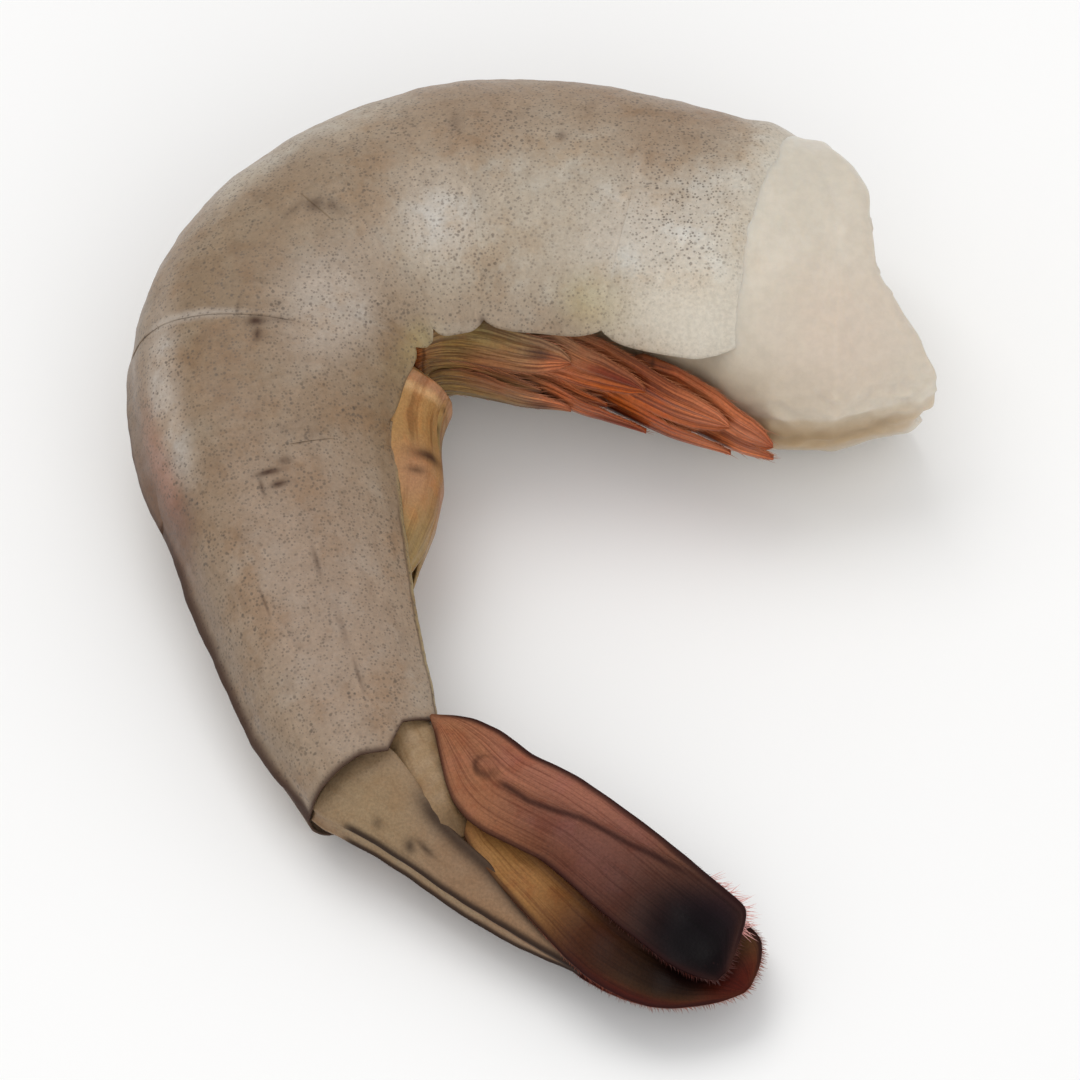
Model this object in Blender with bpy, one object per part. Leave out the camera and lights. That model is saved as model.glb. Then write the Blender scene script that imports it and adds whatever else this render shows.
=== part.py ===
"""Raw headless shell-on tiger prawn, curled and lying on its left side.

The table is z = 0 and the back of the prawn faces outward round the curl.  A centre
line runs from the cut neck (s = 0) to the end of tail segment 6.  Around it a point is
placed by s, by u (towards the back, minus towards the belly) and by w (upward, which is
the prawn's right side).  Lengths are in millimetres until a mesh is made.
"""
import bpy
import numpy as np

MM = 0.001

# Centre line: length and bend in degrees of the bare neck and of the six tail segments.
SPAN_LENGTHS = (6.3, 10.3, 11.1, 8.3, 8.5, 9.2, 25.6)
SPAN_BENDS = (-2.7, -7.8, 18.0, 27.4, 44.1, 27.7, 5.4)
NECK_HEADING = 176.2
NECK_POINT = (23.57, 10.68)
BEND_SMOOTHING = 7.0
STEPS_PER_MM = 4
CENTRE_SHIFT = (0.196, 10.013)

# Half sizes of the flesh against s: to the back, to the belly, sideways, and the height
# of the centre line over the table.
FLESH_S = (-5.0, 0.0, 2.5, 6.3, 11.0, 16.6, 27.7, 36.0, 44.5, 53.7, 66.5, 79.3)
TO_BACK = (8.4, 9.1, 9.5, 9.6, 9.5, 9.4, 9.6, 9.1, 8.4, 7.1, 5.7, 3.9)
TO_BELLY = (8.6, 10.3, 11.1, 11.3, 10.2, 9.1, 8.7, 8.4, 8.1, 6.8, 5.0, 3.7)
SIDEWAYS = (7.2, 7.9, 8.2, 7.7, 7.4, 7.4, 7.4, 7.2, 6.6, 5.7, 4.4, 3.2)
CENTRE_HEIGHT = (8.1, 8.1, 8.1, 8.3, 8.4, 8.4, 8.4, 8.2, 7.6, 6.7, 5.4, 4.2)
SECTION_POWER = 2.3
FLESH_FLOOR_S = (2.5, 6.0)
FLESH_FLOOR = (0.0, 1.6)
FLESH_END = 75.6
CUT_SLANT = 0.44
CUT_SLANT_FADES = 14.0

# Right-hand flap of each shell plate: half size to the belly that its edge lies on.
FLAP_TO_BELLY = (12.0, 12.6, 12.8, 12.8, 12.6, 12.0, 11.7, 11.1, 10.5, 8.4, 6.2, 4.6)
RIGHT_EDGE_DEG = 148.0
LEFT_EDGE_DEG = 144.0
SHELL_THICKNESS = 0.5
SHELL_GAP = 0.3
OVERLAPS = (2.6, 2.6, 2.2, 2.2, 2.4)
RISE_FROM = 0.52
SHELL_1_FRONT = 7.5
SHELL_1_FRONT_SLANT = 3.0
KEEL_HEIGHT = 0.55
KEEL_WIDTH_DEG = 7.0
# Rear margin of segment 6: distance past the span's end against u.
REAR_MARGIN_U = (-5.0, -2.4, -0.9, 0.9, 5.6)
REAR_MARGIN_S = (-2.6, -2.3, -0.4, -0.6, 1.3)

# Tail fan: a straight frame from the end of segment 6, p along it and q to the back.
FAN_HEADING = -40.0
FAN_ORIGIN = (-10.0, -28.8)
FAN_HEIGHT_P = (0.0, 28.0)
FAN_HEIGHT = (4.3, 2.5)
FAN_LENGTH = 28.0
# Telson stations: p, ridge q, side edge q, half width, underside q.
TELSON = (
    (-1.4, 2.3, -0.5, 2.2, -0.3), (0.4, 3.3, -1.1, 2.8, -0.6), (2.5, 3.7, -1.7, 3.0, -0.9),
    (4.6, 4.0, -1.8, 2.9, -0.7), (6.6, 4.1, -1.1, 2.7, 0.0), (9.8, 4.0, -0.1, 2.2, 0.9),
    (13.0, 3.7, 0.8, 1.7, 1.5), (16.5, 2.9, 1.4, 1.0, 1.7), (18.6, 2.35, 1.6, 0.5, 1.75),
    (19.7, 2.05, 1.7, 0.2, 1.75))
# Blade stations: p, q of the edge nearest the back, q of the edge nearest the belly.
OUTER_BLADE = (
    (-1.0, -5.0, -5.8), (0.6, -4.7, -6.9), (3.0, -3.1, -7.7), (6.5, -1.5, -8.0),
    (9.7, -1.7, -8.5), (13.6, -2.1, -8.8), (17.4, -2.0, -8.7), (20.8, -1.9, -8.4),
    (23.7, -1.8, -8.2), (25.8, -2.3, -7.8), (27.0, -3.4, -6.9), (27.4, -4.6, -6.0))
INNER_BLADE = (
    (4.2, -3.6, -5.6), (6.0, -2.6, -6.4), (8.5, -1.5, -6.9), (11.5, -0.5, -7.2),
    (14.5, 0.4, -7.4), (18.0, 1.1, -7.5), (21.0, 1.5, -7.6), (24.0, 0.9, -7.6),
    (26.5, -0.7, -7.4), (28.0, -2.6, -6.7), (28.6, -3.9, -5.6))
OUTER_BLADE_OFFSET = (3.75, 2.0)
INNER_BLADE_OFFSET = (2.55, 0.9)
OUTER_BLADE_THICKNESS = 0.7
INNER_BLADE_THICKNESS = 0.6
BLADE_EDGE_SHARE = 0.45
# Blade bases: centre p, q and offset from the fan's middle, then half sizes.
BLADE_BASE_FROM = (0.3, -3.3, 2.3)
BLADE_BASE_TO = (3.3, -4.6, 2.55)
BLADE_BASE_HALF = (1.5, 0.85)

# Swimmerets: s of the root, s of the tip, distance off the belly at root and tip.
SWIMMERETS = (
    (14.5, 3.0, 0.9, 2.6), (23.0, 7.5, 0.9, 3.4), (31.5, 15.0, 0.9, 3.6),
    (40.0, 19.5, 0.9, 3.9), (47.0, 62.5, 1.8, 2.2))
SWIMMERET_MIDDLE_DEG = 164.0
SWIMMERET_HALF_DEG = 11.5
SWIMMERET_ROOT_THICKNESS = 1.1
SWIMMERET_TIP_THICKNESS = 0.45

COLOURS = {
    "prawn_flesh": ((0.58, 0.52, 0.43, 1.0), 0.35), "prawn_shell": ((0.30, 0.25, 0.20, 1.0), 0.3),
    "tail_shell": ((0.24, 0.16, 0.11, 1.0), 0.3), "fan_blade": ((0.16, 0.06, 0.05, 1.0), 0.3),
    "swimmeret_skin": ((0.40, 0.16, 0.07, 1.0), 0.35)}


def centre_line():
    """Return s, x, y and heading along the centre line of the body."""
    lengths, bends = np.array(SPAN_LENGTHS), np.array(SPAN_BENDS)
    count = int(lengths.sum() * STEPS_PER_MM) + 1
    s = np.linspace(0.0, lengths.sum(), count)
    turned = np.interp(s, np.append(0, lengths.cumsum()), np.append(0, bends.cumsum()))
    width = int(BEND_SMOOTHING * STEPS_PER_MM) | 1
    weights = np.hanning(width + 2)[1:-1]
    before = turned[0] - np.arange(width // 2, 0, -1) * (turned[1] - turned[0])
    after = turned[-1] + np.arange(1, width // 2 + 1) * (turned[-1] - turned[-2])
    padded = np.concatenate([before, turned, after])
    heading = np.radians(NECK_HEADING + np.convolve(padded, weights / weights.sum(), "valid"))
    step = np.diff(s)
    x = NECK_POINT[0] + np.append(0, np.cumsum((np.cos(heading[1:]) + np.cos(heading[:-1])) / 2 * step))
    y = NECK_POINT[1] + np.append(0, np.cumsum((np.sin(heading[1:]) + np.sin(heading[:-1])) / 2 * step))
    return s, x + CENTRE_SHIFT[0], y + CENTRE_SHIFT[1], heading


LINE_S, LINE_X, LINE_Y, LINE_HEADING = centre_line()
SPAN_EDGES = np.append(0, np.cumsum(SPAN_LENGTHS))


def along(table, s):
    """Look a half-size table up at s."""
    return np.interp(s, FLESH_S, table)


def place(s, u, w, floor):
    """Turn s, u and w into points in millimetres, none of them under the floor."""
    before, past = np.minimum(s, 0.0), np.maximum(s - LINE_S[-1], 0.0)
    heading = np.interp(s, LINE_S, LINE_HEADING)
    extra = before + past
    x = np.interp(s, LINE_S, LINE_X) + extra * np.cos(heading) + u * np.sin(heading)
    y = np.interp(s, LINE_S, LINE_Y) + extra * np.sin(heading) - u * np.cos(heading)
    z = np.maximum(along(CENTRE_HEIGHT, s) + w, floor)
    return np.stack(np.broadcast_arrays(x, y, z), axis=-1)


def section(angle):
    """Unit section: share to the back and share sideways at an angle from the back."""
    power = 2.0 / SECTION_POWER
    c, n = np.cos(angle), np.sin(angle)
    return np.sign(c) * np.abs(c) ** power, np.sign(n) * np.abs(n) ** power


def smooth(t):
    t = np.clip(t, 0.0, 1.0)
    return t * t * (3.0 - 2.0 * t)


def body_point(s, angle, offset, flap=False, floor=None, spread=1.0):
    """A point on the flesh's section grown by an offset, or on the plates' flared section."""
    back, side = section(angle)
    belly = along(TO_BELLY, s)
    if flap:
        flare = smooth(np.degrees(angle) / 90.0)
        belly = belly + (along(FLAP_TO_BELLY, s) - belly) * flare
    u = np.where(back > 0, along(TO_BACK, s) + offset, belly + offset) * back
    w = (along(SIDEWAYS, s) + spread * offset) * side
    if floor is None:
        floor = FLESH_FLOOR[-1] - offset
    return place(s, u, w, floor), u


def new_object(name, points, faces, colour):
    """Make a mesh object in metres from points in millimetres."""
    mesh = bpy.data.meshes.new(name)
    mesh.from_pydata([tuple(p) for p in np.asarray(points, float) * MM], [], faces)
    mesh.materials.append(material(colour))
    mesh.update()
    thing = bpy.data.objects.new(name, mesh)
    bpy.context.scene.collection.objects.link(thing)
    return thing


def material(name):
    known = bpy.data.materials.get(name)
    if known:
        return known
    made = bpy.data.materials.new(name)
    made.use_nodes = True
    shader = made.node_tree.nodes["Principled BSDF"]
    shader.inputs["Base Color"].default_value = COLOURS[name][0]
    shader.inputs["Roughness"].default_value = COLOURS[name][1]
    made.diffuse_color = COLOURS[name][0]
    return made


def signed_volume(points, faces):
    total = 0.0
    for face in faces:
        a = points[face[0]]
        for i in range(1, len(face) - 1):
            total += float(np.dot(a, np.cross(points[face[i]], points[face[i + 1]])))
    return total / 6.0


def facing_out(points, faces):
    if signed_volume(points, faces) < 0:
        return [tuple(reversed(face)) for face in faces]
    return faces


def loft(name, rings, colour, start_tip=None, end_tip=None):
    """Skin closed rings, each end closed by a fan to its tip point."""
    rings = np.asarray(rings, float)
    rows, cols = rings.shape[:2]
    points = list(rings.reshape(-1, 3))
    faces = []
    for i in range(rows - 1):
        for j in range(cols):
            k = (j + 1) % cols
            faces.append((i * cols + j, i * cols + k, (i + 1) * cols + k, (i + 1) * cols + j))
    for row, tip, turn in ((0, start_tip, True), (rows - 1, end_tip, False)):
        points.append(rings[row].mean(axis=0) if tip is None else np.asarray(tip, float))
        centre = len(points) - 1
        for j in range(cols):
            k = (j + 1) % cols
            pair = (row * cols + k, row * cols + j) if turn else (row * cols + j, row * cols + k)
            faces.append(pair + (centre,))
    points = np.array(points)
    return new_object(name, points, facing_out(points, faces), colour)


def plate(name, outer, inner, colour):
    """Close an outer grid and an inner grid of the same shape along their four edges."""
    rows, cols = outer.shape[:2]
    points = np.concatenate([outer.reshape(-1, 3), inner.reshape(-1, 3)])
    shift = rows * cols
    faces = []
    for i in range(rows - 1):
        for j in range(cols - 1):
            a, b = i * cols + j, i * cols + j + 1
            c, d = b + cols, a + cols
            faces.append((a, b, c, d))
            faces.append((shift + d, shift + c, shift + b, shift + a))
    rim = [(0, j) for j in range(cols)] + [(i, cols - 1) for i in range(1, rows)]
    rim += [(rows - 1, j) for j in range(cols - 2, -1, -1)] + [(i, 0) for i in range(rows - 2, 0, -1)]
    for (i0, j0), (i1, j1) in zip(rim, rim[1:] + rim[:1]):
        a, b = i0 * cols + j0, i1 * cols + j1
        faces.append((b, a, shift + a, shift + b))
    return new_object(name, points, facing_out(points, faces), colour)


def build_flesh():
    """The meat, slanted at the cut and rounded at both ends."""
    angle = np.linspace(0.0, 2.0 * np.pi, 36, endpoint=False)
    stations = np.concatenate([[0.0, 0.35, 1.1, 2.4], np.linspace(4.2, FLESH_END - 2.2, 31), [FLESH_END - 0.8, FLESH_END]])
    shrink = np.interp(stations, (0.0, 0.35, 1.1, 2.4, FLESH_END - 2.2, FLESH_END - 0.8, FLESH_END),
                       (-1.3, -0.6, -0.2, 0.0, 0.0, -0.5, -1.3))
    rings = []
    for s, offset in zip(stations, shrink):
        position = np.full_like(angle, s)
        for _ in range(4):
            floor = np.interp(position, FLESH_FLOOR_S, FLESH_FLOOR)
            points, u = body_point(position, angle, offset, floor=floor)
            position = s + CUT_SLANT * u * max(0.0, 1.0 - s / CUT_SLANT_FADES)
        rings.append(points)
    front = rings[0].mean(axis=0) + (rings[0] - rings[1]).mean(axis=0)
    return loft("flesh", rings, "prawn_flesh", start_tip=front)


def shell_rows(index):
    """Stations across one plate, as shares of its span, the last ones over the next plate."""
    if index == 6:
        return np.linspace(0.0, 1.0, 12)
    length = SPAN_LENGTHS[index]
    return np.concatenate([np.linspace(0.0, RISE_FROM, 3), np.linspace(RISE_FROM, 0.97, 5)[1:],
                           [1.0 + OVERLAPS[index - 1] / length * k for k in (0.3, 0.7, 1.0)]])


def build_shell(index):
    """One U-shaped plate from the right flap over the back to the left flap."""
    shares = shell_rows(index)
    start, length = SPAN_EDGES[index], SPAN_LENGTHS[index]
    across = np.linspace(-1.0, 1.0, 25)
    outer, inner = [], []
    for t in shares:
        end = abs(2.0 * min(t, 1.0) - 1.0) ** 4
        edge = np.where(across > 0, RIGHT_EDGE_DEG, LEFT_EDGE_DEG) - (5.0 if index < 6 else 2.0) * end
        angle = np.radians(across * edge)
        s = np.full_like(across, start + length * t)
        if index == 1:
            front = SHELL_1_FRONT + SHELL_1_FRONT_SLANT * across ** 2
            s = front + (start + length * t - start) * (start + length - front) / length
        if index == 6:
            _, u = body_point(s, angle, 0.5, flap=True)
            s = s + t ** 4 * np.interp(u, REAR_MARGIN_U, REAR_MARGIN_S)
        rise = 0.0 if index == 6 else float(smooth((t - RISE_FROM) / (0.97 - RISE_FROM)))
        low = SHELL_GAP + rise * (SHELL_THICKNESS + SHELL_GAP)
        keel = {4: 0.35, 5: 0.8, 6: 1.0}.get(index, 0.0) * KEEL_HEIGHT * smooth(2.5 * min(t, 1.0))
        ridge = keel * np.exp(-(np.degrees(angle) / KEEL_WIDTH_DEG) ** 2)
        outer.append(body_point(s, angle, low + SHELL_THICKNESS + ridge, flap=True,
                                floor=FLESH_FLOOR[-1] - low - SHELL_THICKNESS)[0])
        inner.append(body_point(s, angle, np.full_like(s, low), flap=True)[0])
    name = f"shell_{index}"
    return plate(name, np.array(outer), np.array(inner), "tail_shell" if index == 6 else "prawn_shell")


def fan_point(p, q, offset):
    """A point in the tail fan's frame, offset upward from the fan's middle height."""
    heading = np.radians(FAN_HEADING)
    x = FAN_ORIGIN[0] + CENTRE_SHIFT[0] + p * np.cos(heading) + q * np.sin(heading)
    y = FAN_ORIGIN[1] + CENTRE_SHIFT[1] + p * np.sin(heading) - q * np.cos(heading)
    z = np.interp(p, FAN_HEIGHT_P, FAN_HEIGHT) + offset
    return np.stack(np.broadcast_arrays(x, y, np.maximum(z, 0.0)), axis=-1)


def build_telson():
    """A tapering roof with two low ridges along its back and a hollow underside."""
    rings = []
    for p, ridge, edge, half, under in TELSON:
        groove = 0.06 * (ridge - under)
        right = [(ridge - groove, 0.0), (ridge, 0.14), (ridge + 0.62 * (edge - ridge) * 0.5, 0.52),
                 (ridge + 0.62 * (edge - ridge), 0.8), (edge + 0.1 * (ridge - edge), 0.98),
                 (edge, 0.96), (0.5 * (edge + under), 0.6), (under, 0.25)]
        left = [(q, -share) for q, share in reversed(right[1:])]
        ring = [(q, share * half) for q, share in right + left]
        rings.append([fan_point(p, q, w) for q, w in ring])
    return loft("telson", rings, "tail_shell")


def build_blade(name, stations, offsets, thickness, side, colour):
    """A thin curved leaf of the fan, on the right (side 1) or left (side -1)."""
    across = np.linspace(0.0, 1.0, 9)
    bulge = 1.0 - (2.0 * across - 1.0) ** 2
    top, bottom = [], []
    for i, (p, near, far) in enumerate(stations):
        share = np.clip(p / FAN_LENGTH, 0.0, 1.0)
        middle = side * (offsets[0] + (offsets[1] - offsets[0]) * share)
        ends = min(1.0, 0.5 + 0.25 * i, 0.5 + 0.25 * (len(stations) - 1 - i))
        half = 0.5 * thickness * ends * (BLADE_EDGE_SHARE + (1.0 - BLADE_EDGE_SHARE) * bulge ** 0.5)
        q = near + (far - near) * across
        top.append(fan_point(p, q, middle + half))
        bottom.append(fan_point(p, q, middle - half))
    return plate(name, np.array(top), np.array(bottom), colour)


def build_blade_base(name, side):
    """The stout joint between segment 6 and a pair of blades."""
    turn = np.linspace(0.0, 2.0 * np.pi, 12, endpoint=False)
    start, end = np.array(BLADE_BASE_FROM), np.array(BLADE_BASE_TO)
    rings = []
    for t, size in ((0.0, 0.6), (0.12, 0.9), (0.35, 1.0), (0.65, 1.0), (0.88, 0.85), (1.0, 0.5)):
        p, q, offset = start + (end - start) * t
        rings.append(fan_point(p, q + BLADE_BASE_HALF[0] * size * np.cos(turn),
                               side * offset + BLADE_BASE_HALF[1] * size * np.sin(turn)))
    return loft(name, rings, "tail_shell")


def build_swimmeret(name, number, side):
    """A leaf folded along the belly, stout at its root."""
    root, tip, near, far = SWIMMERETS[number]
    turn = np.linspace(0.0, 2.0 * np.pi, 12, endpoint=False)
    rings = []
    for t in (0.0, 0.05, 0.15, 0.3, 0.45, 0.6, 0.75, 0.88, 0.96, 1.0):
        width = np.interp(t, (0.0, 0.05, 0.15, 0.3, 0.6, 0.88, 0.96, 1.0),
                          (0.35, 0.55, 0.7, 0.9, 1.0, 0.7, 0.42, 0.15))
        thick = np.interp(t, (0.0, 0.05, 0.15, 0.3, 1.0), (0.5, 0.9, 1.0, 0.45, 0.4)) * SWIMMERET_ROOT_THICKNESS
        thick = max(thick, SWIMMERET_TIP_THICKNESS) * (1.0 if 0.0 < t < 1.0 else 0.6)
        degrees = SWIMMERET_MIDDLE_DEG + SWIMMERET_HALF_DEG * width * np.cos(turn)
        off = near + (far - near) * t + 0.5 * thick * np.sin(turn)
        s = np.full_like(turn, root + (tip - root) * t)
        rings.append(body_point(s, side * np.radians(degrees), off, floor=0.3, spread=0.1)[0])
    return loft(name, rings, "swimmeret_skin")


def main():
    for thing in list(bpy.data.objects):
        bpy.data.objects.remove(thing, do_unlink=True)
    build_flesh()
    for index in range(1, 7):
        build_shell(index)
    build_telson()
    for word, side in (("right", 1), ("left", -1)):
        build_blade_base(f"uropod_base_{word}", side)
        build_blade(f"uropod_inner_{word}", INNER_BLADE, INNER_BLADE_OFFSET, INNER_BLADE_THICKNESS,
                    side, "fan_blade")
        build_blade(f"uropod_outer_{word}", OUTER_BLADE, OUTER_BLADE_OFFSET, OUTER_BLADE_THICKNESS,
                    side, "fan_blade")
        for number in range(len(SWIMMERETS)):
            build_swimmeret(f"swimmeret_{word}_{number + 1}", number, side)


main()
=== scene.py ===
import math
import bpy
import numpy as np
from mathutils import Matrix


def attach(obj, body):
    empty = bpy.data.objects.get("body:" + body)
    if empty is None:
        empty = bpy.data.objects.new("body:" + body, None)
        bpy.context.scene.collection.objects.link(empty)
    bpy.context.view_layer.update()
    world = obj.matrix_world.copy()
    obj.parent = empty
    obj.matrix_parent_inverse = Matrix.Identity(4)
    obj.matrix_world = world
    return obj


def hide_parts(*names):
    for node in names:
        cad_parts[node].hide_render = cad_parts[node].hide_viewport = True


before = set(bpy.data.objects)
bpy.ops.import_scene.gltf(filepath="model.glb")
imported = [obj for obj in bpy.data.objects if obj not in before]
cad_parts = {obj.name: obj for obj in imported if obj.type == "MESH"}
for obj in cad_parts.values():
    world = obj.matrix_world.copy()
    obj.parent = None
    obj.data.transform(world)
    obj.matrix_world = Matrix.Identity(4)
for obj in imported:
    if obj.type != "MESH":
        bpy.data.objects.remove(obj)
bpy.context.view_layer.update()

mm = 0.001
print("frame loaded:", len(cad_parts), "nodes")


def addObject(name, data):
    thing = bpy.data.objects.new(name, data)
    bpy.context.scene.collection.objects.link(thing)
    return thing


# camera, first; millimetres and degrees
cameraSet = {"target": (0.91, 6.0, 0.0), "elevation": 52.0, "distance": 2800.0, "frameWidth": 71.4}


def addCamera(c):
    data = bpy.data.cameras.new("camera")
    data.sensor_width = 36.0
    data.lens = 36.0 * c["distance"] / c["frameWidth"]
    data.clip_start, data.clip_end = 0.5, 40.0
    cam = addObject("camera", data)
    tilt = math.radians(c["elevation"])
    cam.location = (c["target"][0] * mm, (c["target"][1] - c["distance"] * math.cos(tilt)) * mm,
                    c["distance"] * math.sin(tilt) * mm)
    cam.rotation_euler = (math.pi / 2 - tilt, 0.0, 0.0)
    bpy.context.scene.camera = cam


addCamera(cameraSet)

# the prawn's body map: s runs from the cut neck to the end of segment 6 (mm)
bodyMap = {
    "spanLengths": (6.3, 10.3, 11.1, 8.3, 8.5, 9.2, 25.6),   # bare neck, then segments 1 to 6
    "spanBends": (-2.7, -7.8, 18.0, 27.4, 44.1, 27.7, 5.4),  # degrees
    "neckHeading": 176.2, "neckPoint": (23.766, 20.693), "smoothing": 7.0,
    "s": (-5.0, 0.0, 2.5, 6.3, 11.0, 16.6, 22.0, 27.7, 32.0, 36.0, 44.5, 53.7, 66.5, 73.0, 79.3),
    "toBack": (8.4, 9.1, 9.5, 9.6, 9.6, 10.2, 10.7, 10.6, 9.8, 9.1, 8.4, 7.1, 5.7, 5.1, 3.6),
    "toBelly": (8.6, 10.3, 11.1, 11.3, 10.2, 9.1, 8.9, 8.7, 8.55, 8.4, 8.1, 6.8, 5.0, 4.35, 3.7),
    "sideways": (7.2, 7.9, 8.2, 7.7, 7.4, 7.4, 7.4, 7.4, 7.3, 7.2, 6.6, 5.7, 4.4, 3.8, 3.2),
    "height": (8.1, 8.1, 8.1, 8.3, 8.4, 8.4, 8.4, 8.4, 8.3, 8.2, 7.6, 6.7, 5.4, 4.8, 4.2),
    "flap": (12.0, 12.4, 12.2, 11.7, 12.0, 11.9, 11.85, 11.7, 11.4, 11.1, 10.5, 8.4, 6.2, 5.4, 4.6),
    "power": 2.3}


def bodyLine(b):
    lengths, bends = np.array(b["spanLengths"]), np.array(b["spanBends"])
    s = np.linspace(0.0, lengths.sum(), int(lengths.sum() * 4) + 1)
    turned = np.interp(s, np.append(0, lengths.cumsum()), np.append(0, bends.cumsum()))
    width = int(b["smoothing"] * 4) | 1
    weights = np.hanning(width + 2)[1:-1]
    lead = turned[0] - np.arange(width // 2, 0, -1) * (turned[1] - turned[0])
    tail = turned[-1] + np.arange(1, width // 2 + 1) * (turned[-1] - turned[-2])
    padded = np.concatenate([lead, turned, tail])
    heading = np.radians(b["neckHeading"] + np.convolve(padded, weights / weights.sum(), "valid"))
    step = np.diff(s)
    x = b["neckPoint"][0] + np.append(0, np.cumsum((np.cos(heading[1:]) + np.cos(heading[:-1])) / 2 * step))
    y = b["neckPoint"][1] + np.append(0, np.cumsum((np.sin(heading[1:]) + np.sin(heading[:-1])) / 2 * step))
    return s, x, y, heading


lineS, lineX, lineY, lineHeading = bodyLine(bodyMap)
spanEdge = np.append(0, np.cumsum(bodyMap["spanLengths"]))


def smooth(t):
    t = np.clip(t, 0.0, 1.0)
    return t * t * (3.0 - 2.0 * t)


def along(key, s):
    return np.interp(s, bodyMap["s"], bodyMap[key])


def section(angle):
    k = 2.0 / bodyMap["power"]
    c, n = np.cos(angle), np.sin(angle)
    return np.sign(c) * np.abs(c) ** k, np.sign(n) * np.abs(n) ** k


def place(s, u, w, floor):
    # s along the body, u towards the back, w up (the prawn's right side); millimetres
    extra = np.minimum(s, 0.0) + np.maximum(s - lineS[-1], 0.0)
    heading = np.interp(s, lineS, lineHeading)
    x = np.interp(s, lineS, lineX) + extra * np.cos(heading) + u * np.sin(heading)
    y = np.interp(s, lineS, lineY) + extra * np.sin(heading) - u * np.cos(heading)
    z = along("height", s) + w
    z = np.where(z < floor + 0.5, floor + 0.25 * np.logaddexp(0.0, (z - floor) / 0.25), z)
    return np.stack(np.broadcast_arrays(x, y, z), axis=-1)


def bodyPoint(s, angle, offset, flap=False, floor=0.0, spread=1.0):
    back, side = section(angle)
    belly = along("toBelly", s)
    if flap:
        belly = belly + (along("flap", s) - belly) * smooth(np.degrees(angle) / 90.0)
    u = np.where(back > 0, along("toBack", s) + offset, belly + offset) * back
    w = (along("sideways", s) + spread * offset) * side
    return place(s, u, w, floor), u


rippleWaves = 14


def ripple(p, size, seed):
    # smooth bumps about `size` millimetres across, roughly -1 to 1
    rng = np.random.default_rng(seed)
    total = np.zeros(p.shape[:-1])
    for _ in range(rippleWaves):
        d = rng.normal(size=3)
        d *= 2 * np.pi / size * rng.uniform(0.6, 1.6) / np.linalg.norm(d)
        total += np.sin(p @ d + rng.uniform(0, 6.28))
    return total / math.sqrt(rippleWaves) * 1.2


def srgb(r, g, b):
    c = np.array([r, g, b]) / 255.0
    return np.where(c <= 0.04045, c / 12.92, ((c + 0.055) / 1.055) ** 2.4)


def tinted(a, b, tones, base, patches, flecks=()):
    # regional colour, each patch (tone, a, b, reach in a, reach in b, strength)
    # alpha holds how thick the flecks lie
    def share(pa, pb, ra, rb, strength):
        return strength * np.exp(-(((a - pa) / ra) ** 2 + ((b - pb) / rb) ** 2) ** 1.3)

    colour = np.broadcast_to(srgb(*tones[base]), a.shape + (3,)).copy()
    for tone, *where in patches:
        colour += (srgb(*tones[tone]) - colour) * share(*where)[..., None]
    thick = np.full(a.shape, 1.0)
    for amount, *where in flecks:
        thick += (amount - thick) * share(*where)
    return np.concatenate([colour, thick[..., None]], axis=-1)


def marked(a, b, marks):
    # short dark marks: a, b, reach in a, reach in b, strength
    stain = np.zeros(np.broadcast(a, b).shape)
    for ma, mb, ra, rb, strength in marks:
        stain = np.maximum(stain, strength * np.exp(-((a - ma) / ra) ** 2 - ((b - mb) / rb) ** 2))
    return stain


def newMesh(name, points, faces, tint, uv, stain):
    mesh = bpy.data.meshes.new(name)
    mesh.from_pydata(np.asarray(points) * mm, [], faces)
    mesh.update()
    mesh.polygons.foreach_set("use_smooth", np.ones(len(mesh.polygons), bool))
    corner = np.empty(len(mesh.loops), int)
    mesh.loops.foreach_get("vertex_index", corner)
    mesh.attributes.new("tint", "FLOAT_COLOR", "POINT").data.foreach_set("color", tint.ravel())
    mesh.attributes.new("stain", "FLOAT", "POINT").data.foreach_set("value", stain)
    mesh.uv_layers.new(name="skin").data.foreach_set("uv", uv[corner].ravel())
    return addObject(name, mesh)


def volumeSign(points, faces):
    tri = np.array([(f[0], f[i], f[i + 1]) for f in faces for i in range(1, len(f) - 1)])
    a, b, c = points[tri[:, 0]], points[tri[:, 1]], points[tri[:, 2]]
    return np.einsum("ij,ij->i", a, np.cross(b, c)).sum()


def outward(points, faces):
    return [f[::-1] for f in faces] if volumeSign(points, faces) < 0 else faces


def tubeFaces(rows, cols):
    faces = []
    for i in range(rows - 1):
        for j in range(cols):
            k = (j + 1) % cols
            faces.append((i * cols + j, i * cols + k, (i + 1) * cols + k, (i + 1) * cols + j))
    tipA, tipB = rows * cols, rows * cols + 1
    for j in range(cols):
        k = (j + 1) % cols
        faces.append((k, j, tipA))
        faces.append(((rows - 1) * cols + j, (rows - 1) * cols + k, tipB))
    return faces


def tube(name, rings, tint, uv, stain):
    # closed rings from one tip to the other; tint, uv and stain are given for each ring point
    rows, cols = rings.shape[:2]

    def both(grid):
        flat = grid.reshape(rows * cols, -1)
        return np.concatenate([flat, grid[0].mean(axis=0).reshape(1, -1),
                               grid[-1].mean(axis=0).reshape(1, -1)])

    points = both(rings)
    faces = outward(points, tubeFaces(rows, cols))
    return newMesh(name, points, faces, both(tint), both(uv), both(stain[..., None])[:, 0])


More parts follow.
